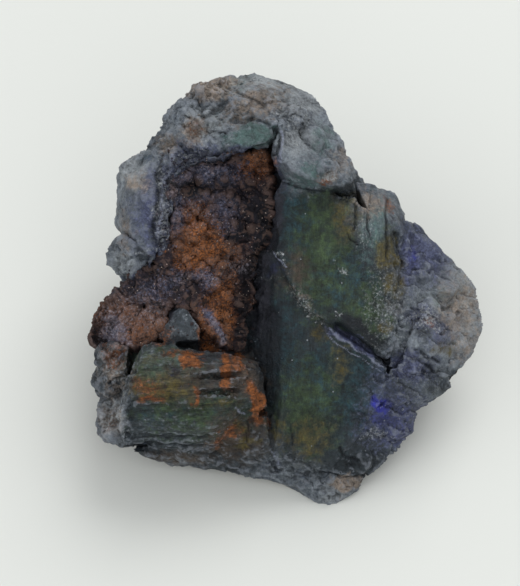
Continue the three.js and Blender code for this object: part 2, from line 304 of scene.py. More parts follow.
@dataclass(frozen=True)
class Line:
    """A groove or a ridge along a route on the broad face, in mm.

    Attributes:
        route: The places that it runs through.
        width: How far it reaches to each side.
        depth: How deep, or how high, it is in the middle.
    """

    route: tuple[tuple[float, float], ...]
    width: float
    depth: float

    def cover(self, x: np.ndarray, up: np.ndarray) -> np.ndarray:
        """How far into the line each place lies.

        Args:
            x: Places to the right.
            up: Places up the face.

        Returns:
            A value from 0 outside the line to 1 on its route, for each place.
        """
        nearest = np.full(len(x), 1e9)
        for (x1, up1), (x2, up2) in zip(self.route, self.route[1:]):
            step_x, step_up = x2 - x1, up2 - up1
            share = ((x - x1) * step_x + (up - up1) * step_up) / (step_x**2 + step_up**2)
            share = np.clip(share, 0.0, 1.0)
            away = np.hypot(x - x1 - share * step_x, up - up1 - share * step_up)
            nearest = np.minimum(nearest, away)
        return 1.0 - smoothstep(0.0, self.width, nearest)


@dataclass(frozen=True)
class Recess:
    """The recess between the crystals that the matrix fills, as a union of convex outlines.

    Attributes:
        outlines: The corners of each outline on the broad face, in mm and in order.
        swing: How far its border wanders, in mm.
        bend: The length of the border's bends, in mm.
    """

    outlines: tuple[tuple[tuple[float, float], ...], ...]
    swing: float = 1.5
    bend: float = 4.2

    def reach(self, x: np.ndarray, up: np.ndarray) -> np.ndarray:
        """How far inside the recess each place lies.

        Args:
            x: Places to the right.
            up: Places up the face.

        Returns:
            The distance in mm to the nearest side of the outline that holds the place best.
        """
        best = np.full(len(x), -1e9)
        for outline in self.outlines:
            middle = np.mean(outline, axis=0)
            least = np.full(len(x), 1e9)
            for (x1, up1), (x2, up2) in zip(outline, outline[1:] + outline[:1]):
                length = math.hypot(x2 - x1, up2 - up1)
                side = ((x2 - x1) * (middle[1] - up1) - (up2 - up1) * (middle[0] - x1)) / length
                away = ((x2 - x1) * (up - up1) - (up2 - up1) * (x - x1)) / length
                least = np.minimum(least, away * math.copysign(1.0, side))
            best = np.maximum(best, least)
        return best

    def bend_border(self, surface: "Surface") -> "Surface":
        """Makes the border of the recess wander, in the same way on both pieces.

        Args:
            surface: The surface before it is worked.

        Returns:
            The surface with its points moved along the broad face.
        """
        x, up, _ = surface.face.T
        flat = np.column_stack((x / self.bend, up / self.bend, np.zeros(len(x))))
        near = 1.0 - smoothstep(0.8, 4.0, np.abs(self.reach(x, up)))
        near *= smoothstep(-29.0, -25.0, x) * smoothstep(-11.0, -7.0, up)
        near *= smoothstep(1.0, 4.0, surface.points[:, 2] / MM)
        aside, upwards = (near * self.swing * layered(flat, 3, seed) for seed in (61, 62))
        turn = np.array(FACE.turn())
        moved = np.outer(aside, turn[:, 0]) + np.outer(upwards, turn[:, 1])
        return Surface(surface.points + moved * MM, surface.normals)


RECESS = Recess(
    (
        (
            (-18.6, 18.5), (-15.5, 20.8), (-3.2, 21.2), (-2.7, 14), (-5, 8.5), (-6.3, 2), (-20, 2),
            (-20.3, 9),
        ),
        (
            (-20, 6), (-6, 6), (-7.2, -4), (-8, -9), (-10.5, -9.3), (-13.3, -6.5), (-15.2, -1.8),
            (-20, -0.5),
        ),
        (
            (-17, 5), (-22, 3.6), (-25.8, 0.4), (-31, -4.4), (-31.4, -8.2), (-21.8, -7.8),
            (-19, -2.2), (-16, -1),
        ),
    )
)


class Lattice:
    """Seeded random numbers on a grid in space, for noise and for broken grains."""

    size = 48

    def __init__(self, seed: int) -> None:
        """Fills the grid.

        Args:
            seed: Gives the grid numbers of its own.
        """
        rng = np.random.default_rng(seed)
        self.levels = rng.uniform(-1.0, 1.0, (self.size,) * 3)
        self.offsets = rng.uniform(0.08, 0.92, (self.size, self.size, self.size, 3))
        self.tilts = rng.normal(0.0, 0.6, (self.size, self.size, self.size, 3))

    def smooth(self, places: np.ndarray) -> np.ndarray:
        """Gives smooth noise.

        Args:
            places: Places in steps of the grid.

        Returns:
            A value from -1 to 1 for each place.
        """
        base = np.floor(places).astype(int)
        share = places - base
        share = share * share * (3.0 - 2.0 * share)
        total = np.zeros(len(places))
        for corner in np.ndindex(2, 2, 2):
            weight = np.prod(np.where(corner, share, 1.0 - share), axis=1)
            total += weight * self.levels[tuple(((base + corner) % self.size).T)]
        return total

    def broken(self, places: np.ndarray) -> np.ndarray:
        """Splits space into irregular grains, each with a tilted flat face.

        Args:
            places: Places in steps of the grid.

        Returns:
            The height of the grain's tilted face at each place.
        """
        base = np.floor(places).astype(int)
        near = np.full(len(places), 9.0)
        second = np.full(len(places), 9.0)
        height = np.zeros(len(places))
        second_height = np.zeros(len(places))
        for corner in np.ndindex(3, 3, 3):
            cell = base + np.array(corner) - 1
            index = tuple((cell % self.size).T)
            away = places - cell - self.offsets[index]
            distance = np.sqrt((away**2).sum(axis=1))
            level = (away * self.tilts[index]).sum(axis=1) + 0.35 * self.levels[index]
            closer = distance < near
            next_closest = ~closer & (distance < second)
            second = np.where(closer, near, np.where(next_closest, distance, second))
            second_height = np.where(closer, height, np.where(next_closest, level, second_height))
            near = np.where(closer, distance, near)
            height = np.where(closer, level, height)
        share = 0.5 + 0.5 * smoothstep(0.0, 0.22, second - near)
        return share * height + (1.0 - share) * second_height

    def nearest(self, places: np.ndarray) -> tuple[np.ndarray, np.ndarray]:
        """Finds the irregular grain that each place lies in.

        Args:
            places: Places in steps of the grid.

        Returns:
            The middle of the grain, in steps of the grid, and the grain's own number from
            -1 to 1, for each place.
        """
        base = np.floor(places).astype(int)
        near = np.full(len(places), 9.0)
        middle, own = np.zeros_like(places), np.zeros(len(places))
        for corner in np.ndindex(3, 3, 3):
            cell = base + np.array(corner) - 1
            index = tuple((cell % self.size).T)
            point = cell + self.offsets[index]
            distance = ((places - point) ** 2).sum(axis=1)
            closer = distance < near
            near = np.where(closer, distance, near)
            middle = np.where(closer[:, None], point, middle)
            own = np.where(closer, self.levels[index], own)
        return middle, own

    def facets(self, places: np.ndarray, reach: float) -> np.ndarray:
        """Gives smooth noise cut into flat facets.

        Args:
            places: Places in steps of the grid, which are the facets' size.
            reach: How many facets there are from one hollow of the noise to the next.

        Returns:
            A value from about -1 to 1 for each place.
        """
        middle, _ = self.nearest(places)
        level = self.smooth(middle / reach)
        height = level.copy()
        for axis in range(3):
            step = np.zeros(3)
            step[axis] = 0.2
            slope = (self.smooth((middle + step) / reach) - level) / 0.2
            height += slope * (places - middle)[:, axis]
        return height


def layered(places: np.ndarray, octaves: int, seed: int) -> np.ndarray:
    """Adds finer and weaker layers of noise to a first one.

    Args:
        places: Places in steps of the first layer.
        octaves: How many layers there are.
        seed: Gives them a pattern of their own.

    Returns:
        A value from about -1 to 1 for each place.
    """
    lattice = Lattice(seed)
    total, weight, whole = np.zeros(len(places)), 1.0, 0.0
    for octave in range(octaves):
        total += weight * lattice.smooth(places * 2.1**octave + 7.3 * octave)
        whole += weight
        weight *= 0.55
    return 1.5 * total / whole


@dataclass
class Surface:
    """The fine surface of one piece while it is worked, one row for each vertex.

    Attributes:
        points: Places in the row frame, in metres.
        normals: Directions in the row frame.
        face: Places on the broad face, in mm.
        facing: Directions as the broad face has them.
    """

    points: np.ndarray
    normals: np.ndarray
    face: np.ndarray = field(init=False)
    facing: np.ndarray = field(init=False)

    def __post_init__(self) -> None:
        """Works out where everything is on the broad face."""
        self.face = FACE.read(self.points)
        self.facing = FACE.read_directions(self.normals)

    @classmethod
    def of(cls, mesh: bpy.types.Mesh) -> "Surface":
        """The places and directions of a mesh's vertices."""
        return cls(read_values(mesh.vertices, "co", 3), read_values(mesh.vertex_normals, "vector", 3))

    def grain(self, size: float, octaves: int = 3, seed: int = 0) -> np.ndarray:
        """Gives rough noise with no direction.

        Args:
            size: The size of its largest lumps, in mm.
            octaves: How many finer layers it has.
            seed: Gives it a pattern of its own.

        Returns:
            A value from about -1 to 1 for each vertex.
        """
        return layered(self.face / size, octaves, seed)

    def streaks(self, along: float, across: float, turn: float, seed: int = 0) -> np.ndarray:
        """Gives noise drawn out along one direction of the broad face.

        Args:
            along: The length of its streaks, in mm.
            across: The width of its streaks, in mm.
            turn: Which way they run, in degrees from x towards up.
            seed: Gives it a pattern of its own.

        Returns:
            A value from about -1 to 1 for each vertex.
        """
        angle = math.radians(turn)
        x, up, out = self.face.T
        first = (x * math.cos(angle) + up * math.sin(angle)) / along
        second = (up * math.cos(angle) - x * math.sin(angle)) / across
        return layered(np.column_stack((first, second, out / across)), 3, seed)

    def stray(
        self, far: float, size: float, octaves: int, seeds: tuple[int, int]
    ) -> tuple[np.ndarray, np.ndarray]:
        """Shifts the places on the face, so that what is drawn there gets a ragged border.

        Args:
            far: How far they are shifted, in mm.
            size: The size of the border's bends, in mm.
            octaves: How many finer bends there are.
            seeds: Give the shifts to the right and upwards patterns of their own.

        Returns:
            The shifted x and up of each vertex, in mm.
        """
        x, up, _ = self.face.T
        aside, upwards = (far * self.grain(size, octaves, seed) for seed in seeds)
        return x + aside, up + upwards

    def wobble(self, size: float, seed: int) -> np.ndarray:
        """Shifts in three directions that keep the borders between grains from being straight."""
        return np.column_stack([self.grain(size, 2, seed + 50 + axis) for axis in range(3)])

    def facets(self, size: float, seed: int, reach: float = 2.2) -> np.ndarray:
        """Noise cut into flat facets of a size in mm, from about -1 to 1."""
        return Lattice(seed).facets(self.face / size + 0.12 * self.wobble(size, seed), reach)

    def chips(self, size: float, seed: int) -> np.ndarray:
        """The tilted heights of broken grains of a size in mm."""
        return Lattice(seed).broken(self.face / size + 0.22 * self.wobble(0.8 * size, seed))

    def cells(self, size: float, seed: int) -> np.ndarray:
        """A number from -1 to 1 for each broken grain of a size in mm, the same all over it."""
        return Lattice(seed).nearest(self.face / size + 0.22 * self.wobble(0.8 * size, seed))[1]


@dataclass
class WeatheredPiece:
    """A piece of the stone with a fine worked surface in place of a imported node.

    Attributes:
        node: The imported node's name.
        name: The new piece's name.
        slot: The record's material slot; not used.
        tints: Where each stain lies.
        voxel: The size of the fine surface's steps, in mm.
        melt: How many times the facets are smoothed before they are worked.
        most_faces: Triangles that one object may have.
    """

    node: str
    name: str
    slot: str
    tints: dict[Stain, tuple[Spot, ...]] = field(default_factory=dict)
    voxel: float = 0.25
    melt: int = 0
    most_faces: int = 196_000

    def make(self) -> list[bpy.types.Object]:
        """Builds the piece: its fine surface, its relief and its stains.

        Returns:
            The objects that it is divided into.
        """
        piece = self.fine_copy()
        surface = RECESS.bend_border(Surface.of(piece.data))
        self.work(surface)
        piece.data.vertices.foreach_set("co", surface.points.astype(np.float32).ravel())
        piece.data.update()
        for name, values in self.stains(Surface.of(piece.data), *self.hollows(piece.data)).items():
            carry(piece.data, name, np.clip(values, 0.0, 1.0))
        piece.data.polygons.foreach_set("use_smooth", [True] * len(piece.data.polygons))
        parts = self.divide(piece)
        for part in parts:
            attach(part, "root")
            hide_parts(self.node)
        return parts

    def fine_copy(self) -> bpy.types.Object:
        """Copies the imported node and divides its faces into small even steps.

        Returns:
            The copy, in the same place.
        """
        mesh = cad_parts[self.node].data.copy()
        mesh.name = self.name
        mesh.materials.clear()
        with shaping(mesh) as shape:
            bmesh.ops.remove_doubles(shape, verts=shape.verts, dist=1e-7)
        piece = place_object(self.name, mesh)
        steps = piece.modifiers.new("Fine steps", "REMESH")
        steps.mode = "VOXEL"
        steps.voxel_size = self.voxel * MM * 1.0
        graph = bpy.context.evaluated_depsgraph_get()
        settled = bpy.data.meshes.new_from_object(piece.evaluated_get(graph))
        settled.name = self.name
        piece.modifiers.clear()
        piece.data = settled
        with shaping(settled) as shape:
            bmesh.ops.triangulate(shape, faces=shape.faces)
            for _ in range(self.melt):
                bmesh.ops.smooth_vert(
                    shape, verts=shape.verts, factor=0.5,
                    use_axis_x=True, use_axis_y=True, use_axis_z=True,
                )
        return piece

    def divide(self, piece: bpy.types.Object) -> list[bpy.types.Object]:
        """Splits a very fine piece into front and back objects, each small enough.

        Args:
            piece: The worked piece.

        Returns:
            The piece itself, or the objects that take its place.
        """
        mesh = piece.data
        if len(mesh.polygons) <= self.most_faces:
            return [piece]
        out = FACE.read(read_values(mesh.polygons, "center", 3))[:, 2]
        limits = [1e9, *np.sort(out)[:: -self.most_faces][1:], -1e9]
        for axis, values in zip("xyz", read_values(mesh.vertex_normals, "vector", 3).T):
            carry(mesh, f"lay_{axis}", values)
        parts = [
            self.cut(mesh, f"{self.name}_{number}", (out > high) | (out <= low))
            for number, (high, low) in enumerate(zip(limits, limits[1:]), 1)
        ]
        bpy.data.objects.remove(piece)
        return parts

    @staticmethod
    def cut(mesh: bpy.types.Mesh, name: str, outside: np.ndarray) -> bpy.types.Object:
        """Makes an object of some of a mesh's faces, which is shaded as the whole mesh is.

        Args:
            mesh: The whole mesh, which carries its own directions.
            name: The new object's name.
            outside: Whether each face is left out.

        Returns:
            The new object.
        """
        part = mesh.copy()
        part.name = name
        with shaping(part) as shape:
            unwanted = [face for face, away in zip(shape.faces, outside) if away]
            bmesh.ops.delete(shape, geom=unwanted, context="FACES")
        lay = [read_values(part.attributes[f"lay_{axis}"].data, "value") for axis in "xyz"]
        part.normals_split_custom_set_from_vertices(np.column_stack(lay).tolist())
        return place_object(name, part)

    @staticmethod
    def hollows(mesh: bpy.types.Mesh) -> tuple[np.ndarray, np.ndarray]:
        """Finds how hollow the mesh is at each vertex, finely and broadly.

        Args:
            mesh: The worked mesh.

        Returns:
            Two values in mm for each vertex, above 0 in a hollow and below 0 on an edge.
        """
        surface = Surface.of(mesh)
        count = len(mesh.vertices)
        ends = np.empty(len(mesh.edges) * 2, np.int32)
        mesh.edges.foreach_get("vertices", ends)
        first, second = ends.reshape(-1, 2).T
        degree = np.maximum(np.bincount(ends, minlength=count), 1)
        smooth = surface.points.copy()
        found = []
        for rounds in (8, 32):
            for _ in range(rounds):
                for axis in range(3):
                    values = smooth[:, axis]
                    total = np.bincount(first, values[second], count)
                    total += np.bincount(second, values[first], count)
                    smooth[:, axis] = 0.3 * values + 0.7 * total / degree
            found.append(((smooth - surface.points) * surface.normals).sum(axis=1) / MM)
        return found[0], found[1]

    @staticmethod
    def deepen(masks: dict[str, np.ndarray], stain: Stain, cover: np.ndarray) -> None:
        """Lays more of a stain where it is weaker than a cover."""
        masks[stain.value] = np.maximum(masks[stain.value], cover)

    @staticmethod
    def push(surface: Surface, height: np.ndarray) -> None:
        """Moves the points along their directions, and keeps the resting face flat.

        Args:
            surface: The surface to move.
            height: How far each point moves outwards, in mm.
        """
        above = surface.points[:, 2] / MM
        free = smoothstep(0.05, 1.2, above)
        surface.points += surface.normals * (height * free * MM)[:, None]
        surface.points[:, 2] = np.where(above < 0.05, 0.0, np.maximum(surface.points[:, 2], 0.0))

    def work(self, surface: Surface) -> None:
        """Moves the surface's points to give it its relief."""
        raise NotImplementedError

    def stains(self, surface: Surface, fine: np.ndarray, broad: np.ndarray) -> dict[str, np.ndarray]:
        """Finds where each stain lies on the worked surface.

        Args:
            surface: The worked surface.
            fine: How hollow each vertex is beside its close neighbours, in mm.
            broad: How hollow it is beside the wider surface round it, in mm.

        Returns:
            A value from 0 to 1 for each vertex, under each stain's name.
        """
        raise NotImplementedError


# Rows of x, up, wide, high, turn, strength and edge, as Spot has them.
CRYSTAL_ZONES = {
    Relief.FLAT: spots(
        (5, 6, 11, 12, 0, 1, 0.15), (4, -15, 11, 13, 0, 1, 0.15), (-17.5, -5, 3.2, 3.2, 0, 1, 0.2),
        (-6.5, 24.2, 4.2, 2, 20, 1, 0.3), (13.5, 12, 4, 5.5, 0, 0.95, 0.3),
    ),
    Relief.RIBBED: spots((-16, -17, 12, 9, 0, 1, 0.12)),
    Relief.BROKEN: spots(
        (-26.5, 4.5, 4, 4, 0, 1, 0.4), (-29, -15, 3.5, 10, 0, 0.7, 0.4),
        (-14, 30, 6, 4, 20, 0.7, 0.4), (-11.5, 21, 8, 1.4, 0, 0.8, 0.6),
        (-20.6, 13, 1.6, 8, 0, 0.7, 0.6), (8, -32, 5, 4, 0, 0.6, 0.4), (-4.5, -21, 2, 5, 0, 0.6),
    ),
    Relief.SMOOTH: spots(
        (25, 0, 7, 14, -20, 1, 0.25), (-25, 12, 4, 9, 0, 0.4, 0.4), (1.5, 22.5, 3, 4, 0, 1, 0.4),
        (-9, 31, 6, 2, 20), (18, -20, 7, 7, 40, 1, 0.4),
    ),
    Relief.COMBED: spots((4, -15, 11, 13, 0, 1, 0.3), (6, 3, 11, 14, 0, 1, 0.3)),
    Relief.LEDGED: spots(
        (24, -1, 8, 13, -30, 1, 0.3), (18, -20, 8, 9, 40, 1, 0.3), (4, -31, 12, 3.5, -20, 1, 0.3),
    ),
    Relief.CRUMBLED: spots(
        (-12, 27, 9, 7, 0, 1, 0.3), (0.5, 26.5, 4, 4), (-28, -13, 4, 8, 0, 1, 0.4),
        (22, -4.7, 4.5, 2.6, 0, 1, 0.3), (20, -12.5, 3.5, 2.2, 0, 1, 0.3), (15, -2, 4, 5, 0, 0.5),
        (-19, 14, 2.2, 9, 0, 1, 0.4), (6.5, 19, 2, 2, 0, 1, 0.4), (-12, -26, 12, 2.5, 0, 1, 0.4),
    ),
}

CRYSTAL_CRACKS = (
    Line(((-2.2, 26), (-2, 23), (-2.2, 20.4)), 0.7, 0.7),
    Line(((-14, 27.4), (-12.4, 28.6), (-10.4, 30.2)), 0.9, 0.8),
    Line(((-9.5, 27.2), (-6.5, 27.4), (-3.2, 26.6)), 0.5, 0.5),
    Line(((-0.4, 27.6), (0.6, 28.2), (1.8, 27.6)), 0.35, 0.25),
    Line(((2.4, 26.6), (1.6, 25.2), (2.2, 24)), 0.35, 0.25),
    Line(((-17.8, 21.4), (-15.6, 22.6), (-13, 22.2)), 0.5, 0.4),
    Line(((-20.2, 21.6), (-21.4, 18), (-21.1, 14), (-21.8, 11), (-21.4, 8.4)), 0.7, 0.55),
    Line(((-8.6, 31.6), (-4, 29.8), (0, 30.6)), 0.4, 0.3),
    Line(((-16.6, 28), (-13.6, 25.4), (-10.4, 25)), 0.4, 0.35),
    Line(((-2, 17.4), (2, 16.2), (5.5, 15.8)), 0.4, 0.3),
    Line(((0.2, -21), (0.3, -24.6)), 0.3, 0.3),
    Line(((-6.8, -21), (-6.9, -24.4)), 0.3, 0.4),
    Line(((8, -25.5), (9, -27), (11.2, -27.3)), 0.35, 0.4),
    Line(((5, -29.3), (9, -30), (12.4, -30)), 0.4, 0.5),
    Line(((9.4, 9.2), (9.8, 8), (10.6, 7.2)), 0.3, 0.3),
    Line(((17, 9.4), (16.9, 7), (17.8, 4), (17.9, 0.8)), 0.5, 0.6),
    Line(((-29, -15), (-27, -13.8), (-25, -13)), 0.5, 0.6),
    Line(((-26, -23.6), (-19, -23.3), (-13, -23.5)), 0.35, 0.4),
    Line(((-26, -25), (-19, -24.6), (-13, -25)), 0.35, 0.4),
    Line(((6.6, -5), (9, -6), (12, -8.2), (15, -10.8)), 1.1, 0.1),
    Line(((12.7, 16), (12.5, 12), (12.8, 8)), 0.35, 0.35),
    Line(((15.4, 14.5), (15.3, 10), (15.6, 5)), 0.4, 0.4),
    Line(((10.4, 15), (10.6, 12), (10.2, 9.5)), 0.5, 0.4),
    Line(((20, -9.3), (22, -10.6), (24, -11.6)), 0.5, 0.25),
    Line(((19.5, -10.8), (21.6, -12), (23.2, -13)), 0.5, 0.25),
)

CRYSTAL_RIDGES = (
    Line(((-18.6, 21.6), (-19.6, 19), (-20.3, 17), (-20.5, 12), (-20.9, 8.5)), 0.6, 0.5),
    Line(((-1.6, 25.4), (-1.5, 23), (-1.5, 20.6)), 0.4, 0.3),
    Line(((6.4, -6), (8, -7.6), (11, -9.6), (15.2, -12.3)), 0.3, 0.22),
    Line(((6.2, -7), (8.4, -9), (11, -10.8), (14.6, -13)), 0.2, 0.12),
    Line(((-2.4, 6), (-1.6, 4.8), (-0.8, 3.6)), 0.22, 0.22),
    Line(((-2.8, -26), (-1.8, -28.4)), 0.3, 0.3),
    Line(((-27, -10.2), (-27.4, -11.3)), 0.3, 0.3),
    Line(((-9, -18.8), (-7.5, -19.8)), 0.3, 0.25),
)

